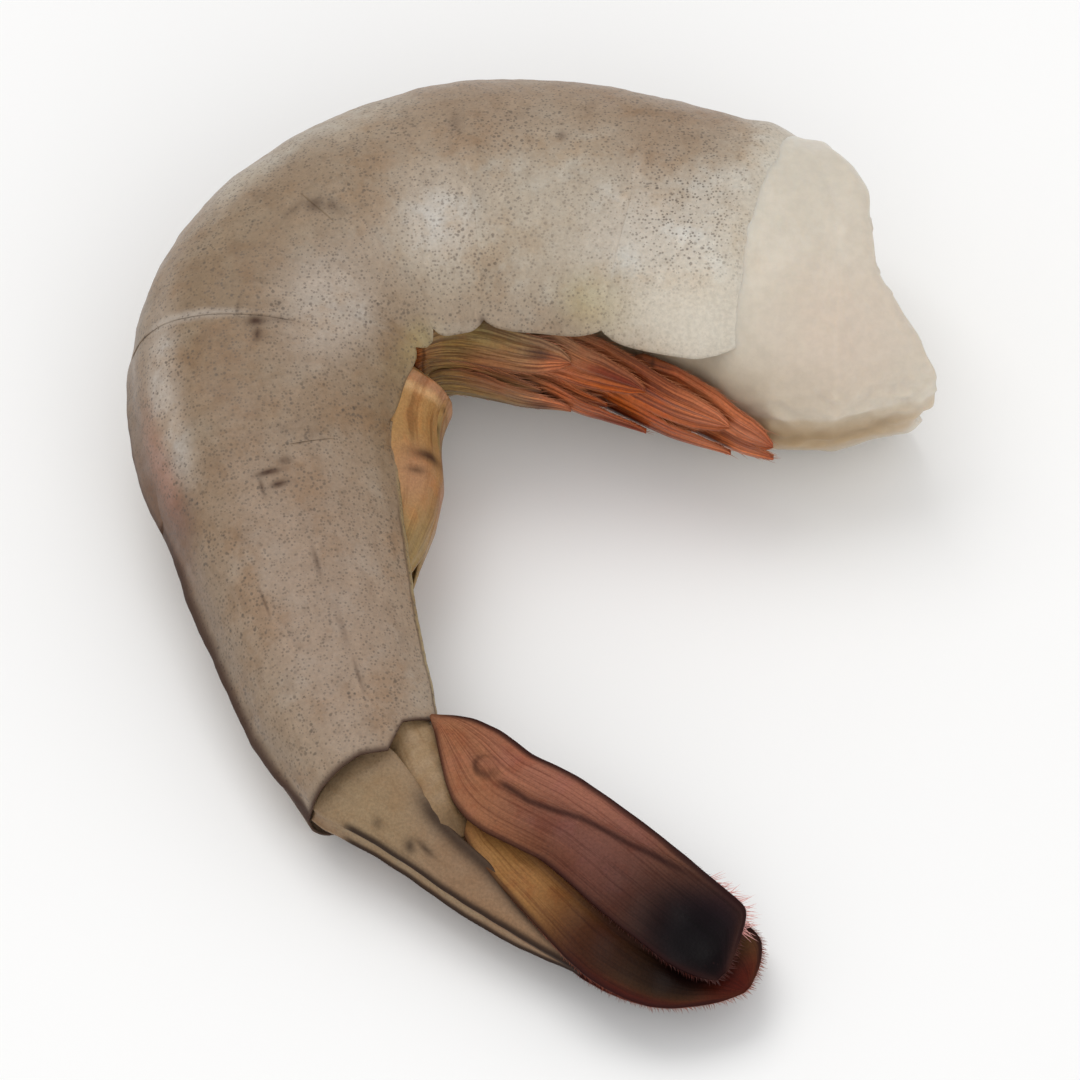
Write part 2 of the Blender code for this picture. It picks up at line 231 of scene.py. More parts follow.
def slab(name, top, bottom, tint, uv, stain):
    # an outer and an inner grid closed round their edges
    rows, cols = top.shape[:2]
    points = np.concatenate([top.reshape(-1, 3), bottom.reshape(-1, 3)])
    shift = rows * cols
    faces = []
    for i in range(rows - 1):
        for j in range(cols - 1):
            a = i * cols + j
            faces.append((a, a + 1, a + cols + 1, a + cols))
            faces.append((shift + a + cols, shift + a + cols + 1, shift + a + 1, shift + a))
    rim = [(0, j) for j in range(cols)] + [(i, cols - 1) for i in range(1, rows)]
    rim += [(rows - 1, j) for j in range(cols - 2, -1, -1)] + [(i, 0) for i in range(rows - 2, 0, -1)]
    for (i0, j0), (i1, j1) in zip(rim, rim[1:] + rim[:1]):
        a, b = i0 * cols + j0, i1 * cols + j1
        faces.append((b, a, shift + a, shift + b))
    twice = lambda grid: np.concatenate([grid.reshape(shift, -1)] * 2)
    return newMesh(name, points, outward(points, faces), twice(tint), twice(uv),
                   twice(stain[..., None])[:, 0])


# node groups shared by the prawn's materials
def startGroup(name, inputs, outputs):
    group = bpy.data.node_groups.new(name, "ShaderNodeTree")
    for label, value in inputs.items():
        kind = "NodeSocketColor" if isinstance(value, tuple) else "NodeSocketFloat"
        group.interface.new_socket(label, in_out="INPUT", socket_type=kind).default_value = value
    for label in outputs:
        kind = "NodeSocketColor" if label == "Colour" else "NodeSocketFloat"
        group.interface.new_socket(label, in_out="OUTPUT", socket_type=kind)
    return group, group.nodes.new("NodeGroupInput"), group.nodes.new("NodeGroupOutput")


def feed(tree, sock, item):
    # a socket takes a link from another one, or a plain value
    if isinstance(item, bpy.types.NodeSocket):
        tree.links.new(item, sock)
    else:
        sock.default_value = item


def mathNode(tree, kind, a, b, clamp=False):
    node = tree.nodes.new("ShaderNodeMath")
    node.operation, node.use_clamp = kind, clamp
    feed(tree, node.inputs[0], a)
    feed(tree, node.inputs[1], b)
    return node.outputs[0]


def rampNode(tree, value, low, high, outLow=0.0, outHigh=1.0):
    node = tree.nodes.new("ShaderNodeMapRange")
    node.interpolation_type = "SMOOTHSTEP"
    labels = ("Value", "From Min", "From Max", "To Min", "To Max")
    for label, item in zip(labels, (value, low, high, outLow, outHigh)):
        feed(tree, node.inputs[label], item)
    return node.outputs["Result"]


def mixColour(tree, factor, a, b, blend="MIX"):
    node = tree.nodes.new("ShaderNodeMix")
    node.data_type, node.blend_type = "RGBA", blend
    sockets = [x for x in node.inputs if x.enabled]
    for sock, item in zip(sockets, (factor, a, b)):
        feed(tree, sock, item)
    return [x for x in node.outputs if x.enabled][0]


def textureNode(tree, kind, vector, scale, **more):
    node = tree.nodes.new(kind)
    for label, item in dict(more, Vector=vector, Scale=scale).items():
        feed(tree, node.inputs[label], item)
    return node


def makeSpecks():
    # pigment dots: Cells per metre, Dot share of a cell, Patches per metre, Cover of the patches
    g, i, o = startGroup("pigmentSpecks", {"Cells": 2200.0, "Dot": 0.3, "Patches": 160.0, "Cover": 0.5},
                         ("Mask",))
    where = g.nodes.new("ShaderNodeTexCoord").outputs["Object"]
    cells = textureNode(g, "ShaderNodeTexVoronoi", where, i.outputs["Cells"], Randomness=1.0)
    keep = rampNode(g, cells.outputs["Color"], 0.25, 0.75, 0.35, 1.0)
    reach = mathNode(g, "MULTIPLY", i.outputs["Dot"], keep)
    inner = mathNode(g, "MULTIPLY", reach, 0.45)
    dots = rampNode(g, cells.outputs["Distance"], inner, reach, 1.0, 0.0)
    patch = textureNode(g, "ShaderNodeTexNoise", where, i.outputs["Patches"], Detail=3.0, Roughness=0.6)
    level = mathNode(g, "SUBTRACT", 1.0, i.outputs["Cover"])
    low = mathNode(g, "SUBTRACT", level, 0.12)
    high = mathNode(g, "ADD", level, 0.12)
    cover = rampNode(g, patch.outputs["Fac"], low, high)
    g.links.new(mathNode(g, "MULTIPLY", dots, cover), o.inputs["Mask"])
    return g


def makeMottle():
    # cloudy change of tone and hue, and a fine grain height
    g, i, o = startGroup("cloudyTone", {"Colour": (0.5, 0.5, 0.5, 1.0), "Warm": (1.0, 0.8, 0.7, 1.0),
                                        "Cool": (1.0, 1.1, 1.2, 1.0), "Clouds": 300.0, "Amount": 0.3,
                                        "Grain": 4000.0, "Dim": 0.86, "Lit": 1.1},
                         ("Colour", "Height", "Gloss"))
    where = g.nodes.new("ShaderNodeTexCoord").outputs["Object"]
    clouds = textureNode(g, "ShaderNodeTexNoise", where, i.outputs["Clouds"], Detail=5.0, Roughness=0.62)
    shifted = g.nodes.new("ShaderNodeVectorMath")   # adds, so the two clouds differ
    shifted.inputs[1].default_value = (0.31, 0.17, 0.09)
    g.links.new(where, shifted.inputs[0])
    other = textureNode(g, "ShaderNodeTexNoise", shifted.outputs[0], i.outputs["Clouds"], Detail=4.0,
                        Roughness=0.6)
    warm = mathNode(g, "MULTIPLY", rampNode(g, clouds.outputs["Fac"], 0.48, 0.68), i.outputs["Amount"])
    cool = mathNode(g, "MULTIPLY", rampNode(g, other.outputs["Fac"], 0.48, 0.68), i.outputs["Amount"])
    first = mixColour(g, warm, i.outputs["Colour"], i.outputs["Warm"], "MULTIPLY")
    second = mixColour(g, cool, first, i.outputs["Cool"], "MULTIPLY")
    grain = textureNode(g, "ShaderNodeTexNoise", where, i.outputs["Grain"], Detail=4.0, Roughness=0.65)
    light = rampNode(g, grain.outputs["Fac"], 0.3, 0.7, i.outputs["Dim"], i.outputs["Lit"])
    toned = g.nodes.new("ShaderNodeVectorMath")
    toned.operation = "SCALE"
    g.links.new(second, toned.inputs[0])
    g.links.new(light, toned.inputs["Scale"])
    g.links.new(toned.outputs[0], o.inputs["Colour"])
    g.links.new(grain.outputs["Fac"], o.inputs["Height"])
    g.links.new(other.outputs["Fac"], o.inputs["Gloss"])
    return g


speckGroup, mottleGroup = makeSpecks(), makeMottle()


def placeGroup(tree, group, **values):
    node = tree.nodes.new("ShaderNodeGroup")
    node.node_tree = group
    for label, item in values.items():
        feed(tree, node.inputs[label], item)
    return node


def startMaterial(name):
    mat = bpy.data.materials.new(name)
    mat.use_nodes = True
    return mat, mat.node_tree, mat.node_tree.nodes["Principled BSDF"]


def attributeNode(tree, name):
    node = tree.nodes.new("ShaderNodeAttribute")
    node.attribute_name = name
    return node.outputs


def skinMaterial(name, m):
    # regional colour from the piece's tint, then clouds, pigment dots, streaks, stains and a wet surface
    mat, tree, shader = startMaterial(name)
    tint, stain = attributeNode(tree, "tint"), attributeNode(tree, "stain")["Fac"]
    busy = mathNode(tree, "MINIMUM", tint["Alpha"], 1.0)
    grainTone = m.get("grainTone", 1.0)
    clouds = placeGroup(tree, mottleGroup, Colour=tint["Color"], Warm=m["warm"] + (1.0,),
                        Cool=m["cool"] + (1.0,),
                        Clouds=m["clouds"], Grain=m["grain"],
                        Amount=mathNode(tree, "MULTIPLY", busy, m["cloudAmount"]),
                        Dim=1.0 - 0.14 * grainTone, Lit=1.0 + 0.1 * grainTone)
    colour, height = clouds.outputs["Colour"], clouds.outputs["Height"]
    for cells, dot, patches, cover, strength in m["specks"]:
        dots = placeGroup(tree, speckGroup, Cells=cells, Dot=dot, Patches=patches, Cover=cover)
        amount = mathNode(tree, "MULTIPLY", dots.outputs["Mask"], strength)
        amount = mathNode(tree, "MULTIPLY", amount, tint["Alpha"], clamp=True)
        colour = mixColour(tree, amount, colour, m["speckColour"] + (1.0,))
    for stretchBy, low, high, amount, tone, relief in m.get("streaks", ()):
        uvNode = tree.nodes.new("ShaderNodeUVMap")
        uvNode.uv_map = "skin"
        stretch = tree.nodes.new("ShaderNodeMapping")
        stretch.inputs["Scale"].default_value = stretchBy
        tree.links.new(uvNode.outputs["UV"], stretch.inputs["Vector"])
        streak = textureNode(tree, "ShaderNodeTexNoise", stretch.outputs["Vector"], 1.0, Detail=4.0,
                             Roughness=0.6)
        thick = mathNode(tree, "MULTIPLY", busy,
                         rampNode(tree, streak.outputs["Fac"], low, high, 0.0, amount))
        colour = mixColour(tree, thick, colour, tone + (1.0,), "MULTIPLY")
        height = mathNode(tree, "ADD", height, mathNode(tree, "MULTIPLY", streak.outputs["Fac"], relief))
    colour = mixColour(tree, stain, colour, m["stainColour"] + (1.0,))
    tree.links.new(colour, shader.inputs["Base Color"])
    rough = rampNode(tree, clouds.outputs["Gloss"], 0.35, 0.65, m["rough"][0], m["rough"][1])
    dull = mathNode(tree, "MULTIPLY", stain, 0.3)
    tree.links.new(mathNode(tree, "ADD", rough, dull, clamp=True), shader.inputs["Roughness"])
    clean = mathNode(tree, "SUBTRACT", 1.0, stain, clamp=True)
    tree.links.new(mathNode(tree, "MULTIPLY", clean, m["coat"]), shader.inputs["Coat Weight"])
    bump = tree.nodes.new("ShaderNodeBump")
    bump.inputs["Strength"].default_value = m["bump"]
    bump.inputs["Distance"].default_value = m["bumpDepth"] * mm
    tree.links.new(height, bump.inputs["Height"])
    tree.links.new(bump.outputs["Normal"], shader.inputs["Normal"])
    plain = {"Subsurface Weight": m["soft"], "Subsurface Radius": m["softRadius"],
             "Subsurface Scale": m["softDepth"] * mm, "Coat Roughness": m["coatRough"], "IOR": 1.4,
             "Specular IOR Level": m.get("specular", 0.5)}
    for label, value in plain.items():
        shader.inputs[label].default_value = value
    return mat


# warm, cool and streak tones multiply the colour beneath; lengths in millimetres, scales per metre
# specks: cells, dot, patches, cover, strength; streaks: stretch, low, high, amount, tone, relief
shellSkin = {"grainTone": 0.7, "warm": (0.89, 0.78, 0.66), "cool": (1.12, 1.22, 1.34), "clouds": 250.0,
             "cloudAmount": 0.75, "grain": 3600.0,
             "specks": [(4400.0, 0.52, 420.0, 0.66, 0.5), (2500.0, 0.4, 230.0, 0.5, 0.62),
                        (1400.0, 0.24, 120.0, 0.34, 0.75)],
             "speckColour": (0.08, 0.06, 0.046), "stainColour": (0.042, 0.016, 0.008),
             "rough": (0.38, 0.52), "specular": 0.36,
             "streaks": [((9.0, 26.0, 1.0), 0.5, 0.7, 0.4, (1.25, 1.25, 1.25), 0.4),
                         ((8.0, 20.0, 4.0), 0.5, 0.68, 0.4, (0.72, 0.66, 0.6), 0.2)],
             "bump": 0.3, "bumpDepth": 0.1, "soft": 0.1, "softRadius": (1.0, 0.7, 0.5), "softDepth": 0.4,
             "coat": 0.14, "coatRough": 0.26}
fleshSkin = {"warm": (1.0, 0.93, 0.86), "cool": (0.97, 1.0, 1.02), "clouds": 70.0, "cloudAmount": 0.5,
             "grain": 1500.0, "grainTone": 0.3,
             "specks": [(1400.0, 0.12, 90.0, 0.25, 0.2)], "speckColour": (0.32, 0.26, 0.2),
             "streaks": [((150.0, 3.0, 1.0), 0.5, 0.7, 0.2, (1.08, 1.08, 1.08), 0.4)],
             "stainColour": (0.2, 0.12, 0.045), "rough": (0.34, 0.46), "bump": 0.2, "bumpDepth": 0.08,
             "soft": 0.5, "softRadius": (1.0, 0.75, 0.55), "softDepth": 1.4, "coat": 0.15,
             "coatRough": 0.25}
fanSkin = {"warm": (0.85, 0.6, 0.5), "cool": (1.05, 1.0, 1.2), "clouds": 420.0, "cloudAmount": 0.5,
           "grain": 5200.0,
           "specks": [(3000.0, 0.34, 300.0, 0.4, 0.4)], "speckColour": (0.03, 0.012, 0.012),
           "streaks": [((3.0, 30.0, 1.0), 0.45, 0.66, 0.6, (0.42, 0.3, 0.3), 0.8),
                       ((2.5, 22.0, 2.0), 0.55, 0.72, 0.5, (1.5, 1.4, 1.35), 0.3)],
           "stainColour": (0.02, 0.006, 0.006), "rough": (0.34, 0.46), "bump": 0.35, "bumpDepth": 0.1,
           "specular": 0.1,
           "soft": 0.04, "softRadius": (1.0, 0.4, 0.25), "softDepth": 0.3, "coat": 0.02, "coatRough": 0.2}
telsonSkin = dict(fanSkin, warm=(0.9, 0.76, 0.62), cool=(1.1, 1.15, 1.25),
                  stainColour=(0.018, 0.008, 0.005), specular=0.25, coat=0.08,
                  speckColour=(0.06, 0.04, 0.025),
                  streaks=[((3.0, 20.0, 1.0), 0.48, 0.7, 0.4, (0.66, 0.55, 0.45), 0.5)])
swimSkin = {"warm": (1.15, 0.8, 0.6), "cool": (0.75, 0.85, 0.85), "clouds": 420.0, "cloudAmount": 0.5,
            "grain": 5200.0,
            "specks": [(2600.0, 0.3, 300.0, 0.35, 0.35)], "speckColour": (0.09, 0.035, 0.016),
            "streaks": [((2.2, 16.0, 1.0), 0.42, 0.6, 0.8, (0.34, 0.24, 0.2), 1.0),
                        ((1.6, 12.0, 3.0), 0.5, 0.66, 0.7, (1.5, 1.45, 1.2), 0.6)],
            "stainColour": (0.05, 0.02, 0.009), "rough": (0.34, 0.48), "bump": 0.35, "bumpDepth": 0.12,
            "specular": 0.3,
            "soft": 0.12, "softRadius": (1.0, 0.35, 0.2), "softDepth": 0.4, "coat": 0.12, "coatRough": 0.22}
lastSwimSkin = dict(swimSkin, cloudAmount=0.4,
                    streaks=[((1.6, 9.0, 1.0), 0.45, 0.65, 0.65, (0.46, 0.34, 0.24), 0.5),
                             ((1.3, 7.0, 3.0), 0.5, 0.7, 0.35, (1.25, 1.2, 1.1), 0.4)])
shellMaterial = skinMaterial("wetShell", shellSkin)
fleshMaterial = skinMaterial("rawFlesh", fleshSkin)
fanMaterial = skinMaterial("tailFanShell", fanSkin)
telsonMaterial = skinMaterial("telsonShell", telsonSkin)
swimMaterial = skinMaterial("swimmeretSkin", swimSkin)
lastSwimMaterial = skinMaterial("lastSwimmeretSkin", lastSwimSkin)
print("materials made")


def finishPiece(piece, material, slotName, *nodes):
    piece.data.materials.clear()
    piece.data.materials.append(material)
    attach(piece, "root")
    if nodes:
        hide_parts(*nodes)


# the meat, bare at the neck
uvLength = 80.0
meat = {"slant": 0.44, "slantFades": 14.0, "end": 78.6, "neckSwell": (0.1, 0.75), "swellEnds": (3.0, 9.0),
        "around": 200, "cutRings": 26, "ragged": 0.16, "lip": 1.2, "rounding": 0.5, "endRounding": 1.3,
        "hollow": 0.35,
        # least height over the table, by s; where the folds start; the vein's place, radius, darkness
        "floor": ((2.5, 6.0), (0.0, 1.6)), "foldsFrom": 160.0, "vein": (6.6, 1.0, 0.75),
        # waves of the torn edge: depth share, count, turn
        "torn": ((1.0, 3, 1.0), (0.7, 7, 2.2), (0.35, 17, 0.0)),
        # how far the cut lies back there: angle, reach in degrees, millimetres; it fades along s
        "dents": ((112.0, 26.0, 1.9), (45.0, 30.0, 0.9), (-158.0, 16.0, 1.2)), "dentFades": 9.0,
        "tones": {"milky": (205, 196, 181), "pink": (208, 191, 174), "amber": (164, 130, 80),
                  "shell": (150, 124, 92), "dusky": (168, 154, 134)},
        # tone, s, angle from the back, reach in s, reach in degrees, strength
        "patches": [("pink", 2.0, 140.0, 5.0, 36.0, 0.8), ("amber", 6.0, -166.0, 12.0, 16.0, 0.8),
                    ("amber", 26.0, 180.0, 19.0, 34.0, 0.9), ("amber", 26.0, -180.0, 19.0, 34.0, 0.9),
                    ("shell", 62.0, 180.0, 30.0, 48.0, 1.0), ("shell", 62.0, -180.0, 30.0, 48.0, 1.0),
                    ("dusky", 6.0, -120.0, 9.0, 40.0, 0.6), ("dusky", 1.5, 10.0, 3.5, 30.0, 0.4)]}


def buildMeat(f):
    angle = np.linspace(-np.pi, np.pi, f["around"], endpoint=False)
    stations = np.concatenate([np.linspace(0.0, f["lip"], 9), np.linspace(1.5, 15.0, 62),
                               np.linspace(16.0, f["end"], 60)])
    torn = sum(deep * np.sin(count * angle + turn) for deep, count, turn in f["torn"])
    rings, uv = [], []
    for s in stations:
        rounding = -f["rounding"] * (1.0 - min(s / f["lip"], 1.0)) ** 2.2
        rounding -= f["endRounding"] * smooth((s - f["end"] + 2.0) / 2.0)
        swell = np.interp(s, f["swellEnds"], f["neckSwell"]) * (1.0 - smooth((s - 10.0) / 2.0))
        dent = sum(deep * np.exp(-((np.degrees(angle) - a) / reach) ** 2) for a, reach, deep in f["dents"])
        position = np.full_like(angle, s)
        for _ in range(4):
            floor = np.interp(position, *f["floor"])
            points, u = bodyPoint(position, angle, rounding + swell, floor=floor)
            slanted = s + f["slant"] * u * max(0.0, 1.0 - s / f["slantFades"])
            position = slanted + f["ragged"] * torn * max(0.0, 1.0 - s / 3.0)
            position = position + dent * max(0.0, 1.0 - s / f["dentFades"]) ** 1.5
        rings.append(points)
        uv.append(np.stack([position / uvLength, angle / 6.283 + 0.5], axis=-1))
    rings, uv = np.array(rings), np.array(uv)
    middle = rings.mean(axis=1, keepdims=True)
    out = rings - middle
    out /= np.linalg.norm(out, axis=-1, keepdims=True)
    bare = 1.0 - smooth((uv[..., 0] * uvLength - 7.0) / 3.0)
    folds = smooth((np.abs((uv[..., 1] - 0.5) * 360.0) - f["foldsFrom"]) / 10.0)
    coarse, fine = 0.09 * ripple(rings, 6.0, 11), (0.02 + 0.07 * folds) * ripple(rings, 1.8, 12)
    rings += out * (bare * (coarse + fine))[..., None]
    centre, ahead = middle[0, 0], (rings[0] - rings[3]).mean(axis=0)
    ahead /= np.linalg.norm(ahead)
    cut = []
    for k in np.linspace(0.02, 0.98, f["cutRings"]):
        ring = centre + (rings[0] - centre) * k
        lumps = 0.3 * ripple(ring, 2.6, 21) + 0.12 * ripple(ring, 0.9, 22)
        cut.append(ring + ahead * ((lumps - f["hollow"]) * min(1.0, (1.0 - k) * 4.0))[..., None])
    cut = np.array(cut)
    cutUv = np.broadcast_to(uv[0], cut.shape[:2] + (2,))
    rings, uv = np.concatenate([cut, rings]), np.concatenate([cutUv, uv])
    s, a = uv[..., 0] * uvLength, (uv[..., 1] - 0.5) * 360.0
    tint = tinted(s, a, f["tones"], "milky", f["patches"])
    veinOff, veinRadius, veinDark = f["vein"]
    vein = centre + np.array([np.sin(lineHeading[0]), -np.cos(lineHeading[0]), 0.0]) * veinOff
    stain = veinDark * np.exp(-(np.linalg.norm(rings - vein, axis=-1) / veinRadius) ** 4)
    # a darker line along the lower edge of the bare meat
    bareRun = smooth((s + 3.0) / 3.0) * (1.0 - smooth((s - 9.0) / 4.0))
    stain += 0.45 * np.exp(-((a + 172.0) / 5.0) ** 2) * bareRun
    return tube("meat", rings, tint, uv, np.clip(stain, 0.0, 1.0))


finishPiece(buildMeat(meat), fleshMaterial, "prawn_flesh", "flesh")
print("meat made")

# shell plates
plates = {
    "around": 210, "rows": 74, "rightEdge": 148.0, "leftEdge": 144.0, "thickness": 0.14,
    "rimThickness": 0.035,
    # height over the meat, its rise towards the rear edge, reach over the next plate, the first one's front
    "low": 1.1, "rise": (0.02, 0.02, 0.03, 0.05, 0.06, 0.0), "riseFrom": 0.58,
    "overlaps": (2.4, 2.4, 2.0, 2.0, 2.2), "front": (5.8, 2.6),
    "frontDrop": 1.0, "frontReach": 0.32, "keelWidth": 6.0, "keels": {4: 0.15, 5: 0.4, 6: 0.5},
    # degrees off at the corners, also the last one's; hinge bump: height, angle, reach in s and degrees
    "cornerRound": (5.0, 2.0), "hinge": (0.16, 84.0, 0.8, 5.0),
    # where a rear edge shows as a line, in degrees from the back; elsewhere it sinks into the next plate
    "seams": {1: (0.0, 0.0), 2: (0.0, 0.0), 3: (78.0, 90.0), 4: (8.0, 94.0), 5: (95.0, 108.0)},
    "sink": 0.24,
    # the last plate's rear edge: how far it reaches along s, by the distance u towards the back
    "marginU": (-5.0, -2.4, -0.9, 0.9, 5.6), "marginS": (-2.6, -2.3, -0.4, -0.6, 0.5), "cornerCut": 0.5,
    "tones": {"clay": (151, 132, 111), "pale": (184, 174, 158), "milky": (205, 196, 181),
              "brown": (147, 124, 101),
              "ochre": (124, 99, 70), "rust": (98, 66, 46), "olive": (156, 136, 88),
              "mauve": (149, 128, 110),
              "sheen": (200, 191, 182), "pink": (168, 122, 106), "dark": (112, 92, 74)},
    # tone, s, angle from the back (right side positive), reach in s, reach in degrees, strength
    "patches": [
        ("brown", 20.0, 30.0, 26.0, 46.0, 0.85), ("ochre", 47.0, 84.0, 13.0, 52.0, 0.8),
        ("ochre", 59.0, 80.0, 6.0, 50.0, 0.45),
        ("mauve", 68.0, 90.0, 16.0, 50.0, 0.85), ("dark", 66.0, 8.0, 16.0, 26.0, 0.55),
        ("pale", 21.0, 108.0, 12.0, 30.0, 0.6), ("pale", 12.0, 108.0, 5.0, 24.0, 0.6),
        ("pale", 33.5, 46.0, 3.0, 22.0, 0.5), ("pale", 38.4, 44.0, 2.4, 13.0, 0.6),
        ("pale", 32.5, 118.0, 4.0, 18.0, 0.4),
        ("brown", 27.0, 70.0, 2.2, 24.0, 0.6), ("brown", 16.0, 72.0, 2.2, 20.0, 0.6),
        ("olive", 17.0, 132.0, 3.2, 11.0, 0.8),
        # painted highlight: the two sheen patches below are the key light's reflection on segment 5 near the
        # back, and a light line along the seam between segments 4 and 5
        ("sheen", 50.5, 40.0, 5.0, 11.0, 0.5), ("sheen", 46.4, 58.0, 0.3, 24.0, 0.4),
        ("rust", 55.5, 6.0, 6.5, 22.0, 0.85), ("rust", 57.3, 24.0, 2.2, 15.0, 0.6),
        ("pink", 54.0, 24.0, 3.6, 10.0, 0.45),
        ("dark", 44.0, 4.0, 8.0, 20.0, 0.5), ("ochre", 51.0, 138.0, 9.0, 12.0, 0.7),
        ("olive", 42.0, 144.0, 6.0, 9.0, 0.6),
        ("olive", 68.0, 147.5, 14.0, 3.0, 0.8), ("dark", 30.0, -90.0, 40.0, 60.0, 0.25),
        ("sheen", 36.5, 110.0, 4.5, 13.0, 0.12), ("sheen", 30.8, 106.0, 3.2, 14.0, 0.4),
        ("sheen", 44.6, 106.0, 5.0, 16.0, 0.5),
        ("sheen", 14.0, 112.0, 5.0, 26.0, 0.4), ("milky", 6.0, 90.0, 4.4, 110.0, 1.0),
        ("milky", 10.0, 132.0, 6.0, 24.0, 1.0)],
    "flecks": [(1.5, 13.0, 98.0, 3.0, 22.0, 1.0), (0.0, 5.2, 90.0, 3.6, 110.0, 1.0),
               (0.0, 10.0, 134.0, 6.0, 20.0, 1.0),
               (0.5, 21.0, 112.0, 5.0, 18.0, 0.8), (1.3, 40.0, 20.0, 26.0, 40.0, 0.7)],
    "marks": [(38.0, 84.0, 0.5, 3.0, 0.6), (37.3, 88.0, 0.4, 2.0, 0.45), (39.0, 80.0, 0.9, 1.4, 0.35),
              (46.9, 86.0, 0.36, 3.0, 1.0), (47.8, 87.0, 0.5, 1.5, 0.85), (46.6, 92.0, 0.2, 5.0, 0.35),
              (46.2, 79.0, 0.7, 1.0, 0.4),
              (57.6, 83.0, 0.24, 5.5, 1.0), (58.6, 86.0, 0.24, 3.6, 0.95), (58.5, 78.5, 0.6, 1.0, 0.7),
              (57.0, 90.0, 0.3, 2.0, 0.6),
              (64.6, 91.0, 1.1, 0.7, 0.75), (69.6, 93.5, 1.4, 0.7, 0.75), (73.2, 94.5, 1.1, 0.7, 0.8),
              (66.3, 60.0, 1.0, 0.7, 0.6),
              (22.0, 79.0, 0.3, 1.6, 0.6), (27.9, 144.0, 0.4, 2.5, 0.8), (28.3, 72.0, 0.4, 5.0, 0.3)]}


def buildPlate(index, f):
    start, length = spanEdge[index], bodyMap["spanLengths"][index]
    last = index == 6
    over = 0.0 if last else f["overlaps"][index - 1] / length
    shares = np.linspace(0.0, 1.0 + over, int(f["rows"] * (2.0 if last else 1.0)))
    across = np.linspace(-1.0, 1.0, f["around"])
    outer, inner, uv, keepS, keepA = [], [], [], [], []
    hingeHeight, hingeAt, hingeS, hingeA = f["hinge"]
    for t in shares:
        corner = abs(2.0 * min(t, 1.0) - 1.0) ** 4
        edge = np.where(across > 0, f["rightEdge"], f["leftEdge"]) - f["cornerRound"][int(last)] * corner
        angle = np.radians(across * edge)
        degrees = np.degrees(angle)
        s = np.full_like(across, start + length * t)
        low, thick = f["low"], f["thickness"]
        if not last:
            thick -= (f["thickness"] - f["rimThickness"]) * smooth((t - 0.8) / 0.2)
        if index == 1:
            front = f["front"][0] + f["front"][1] * across ** 2
            s = front + (length * t) * (start + length - front) / length
            low = f["low"] - f["frontDrop"] * (1.0 - smooth(t / f["frontReach"]))
            thick = f["rimThickness"] + (thick - f["rimThickness"]) * smooth(t / 0.15)
        if last:
            _, u = bodyPoint(s, angle, 1.0, flap=True)
            cut = f["cornerCut"] * smooth((14.0 - degrees) / 26.0)
            s = s + t ** 4 * (np.interp(u, f["marginU"], f["marginS"]) - cut)
        top = low + f["rise"][index - 1] * smooth((t - f["riseFrom"]) / (0.97 - f["riseFrom"]))
        if not last:
            first, final = f["seams"][index]
            fromBack = np.abs(degrees)
            shows = smooth((fromBack - first + 8.0) / 8.0) * smooth((final + 8.0 - fromBack)
                                                                    / 8.0) if final else 0.0
            shows = np.maximum(shows, smooth((-12.0 - degrees) / 12.0))   # the lying side shows every seam
            top = top - f["sink"] * smooth((t - 0.96) / (over + 0.04)) * (1.0 - shows)
        keel = f["keels"].get(index, 0.0) * smooth(2.5
                                                   * min(t, 1.0)) * np.exp(-(degrees / f["keelWidth"]) ** 2)
        if last:
            keel = keel * (1.0 - smooth((t - 0.84) / 0.14))
        skin, _ = bodyPoint(s, angle, top, flap=True)
        relief = 0.03 * ripple(skin, 4.0, 31) + 0.012 * ripple(skin, 1.2, 32) + keel
        if not last:
            hinge = ((s - start - length) / hingeS) ** 2 + ((np.abs(degrees) - hingeAt) / hingeA) ** 2
            relief += hingeHeight * np.exp(-hinge)
        ground = np.maximum(f["low"] + 0.09 - top, 0.0)   # a sunken rim lies a little above the table
        outer.append(bodyPoint(s, angle, top + relief, flap=True, floor=ground)[0])
        inner.append(bodyPoint(s, angle, top - thick, flap=True, floor=ground + thick)[0])
        uv.append(np.stack([np.full_like(across, t / (1.0 + over)), across * 0.5 + 0.5], axis=-1))
        keepS.append(s)
        keepA.append(degrees)
    s, a, uv = np.array(keepS), np.array(keepA), np.array(uv)
    tint = tinted(s, a, f["tones"], "clay", f["patches"], f["flecks"])
    stain = marked(s, a, f["marks"])
    # the dark band along the keel, wider and darker on the last plate
    onLast = smooth((s - 55.0) / 5.0)
    keelLine = np.exp(-((a + 5.0) / (7.0 + 4.5 * onLast)) ** 6) * (0.72 * smooth((s - 42.0) / 9.0)
                                                                   + 0.26 * onLast)
    stain = np.maximum(stain, keelLine)
    if last:
        rim = 0.9 * np.exp(-((1.0 - uv[..., 0]) / 0.013) ** 2)
        flapLine = 0.75 * np.exp(-((a - 144.2) / 0.9) ** 2) * smooth((s - 58.0) / 4.0)
        stain = np.maximum(stain, np.maximum(rim, flapLine))
    return slab(f"shellPlate{index}", np.array(outer), np.array(inner), tint, uv, stain)


for index in range(1, 7):
    piece = buildPlate(index, plates)
    finishPiece(piece, shellMaterial, "tail_shell" if index == 6 else "prawn_shell", f"shell_{index}")
print("shell plates made")

# tail fan: p along it, q towards the back
fan = {"heading": -40.0, "origin": (-9.804, -18.787), "heightP": (0.0, 28.0), "height": (4.3, 2.5),
       "length": 28.0,
       "tuck": (1.2, 1.3)}   # the left blades lie tucked under the right ones, shorter in p and in q


def fanPoint(p, q, offset):
    h = math.radians(fan["heading"])
    x = fan["origin"][0] + p * math.cos(h) + q * math.sin(h)
    y = fan["origin"][1] + p * math.sin(h) - q * math.cos(h)
    z = np.interp(p, fan["heightP"], fan["height"]) + offset
    return np.stack(np.broadcast_arrays(x, y, np.maximum(z, 0.0)), axis=-1)


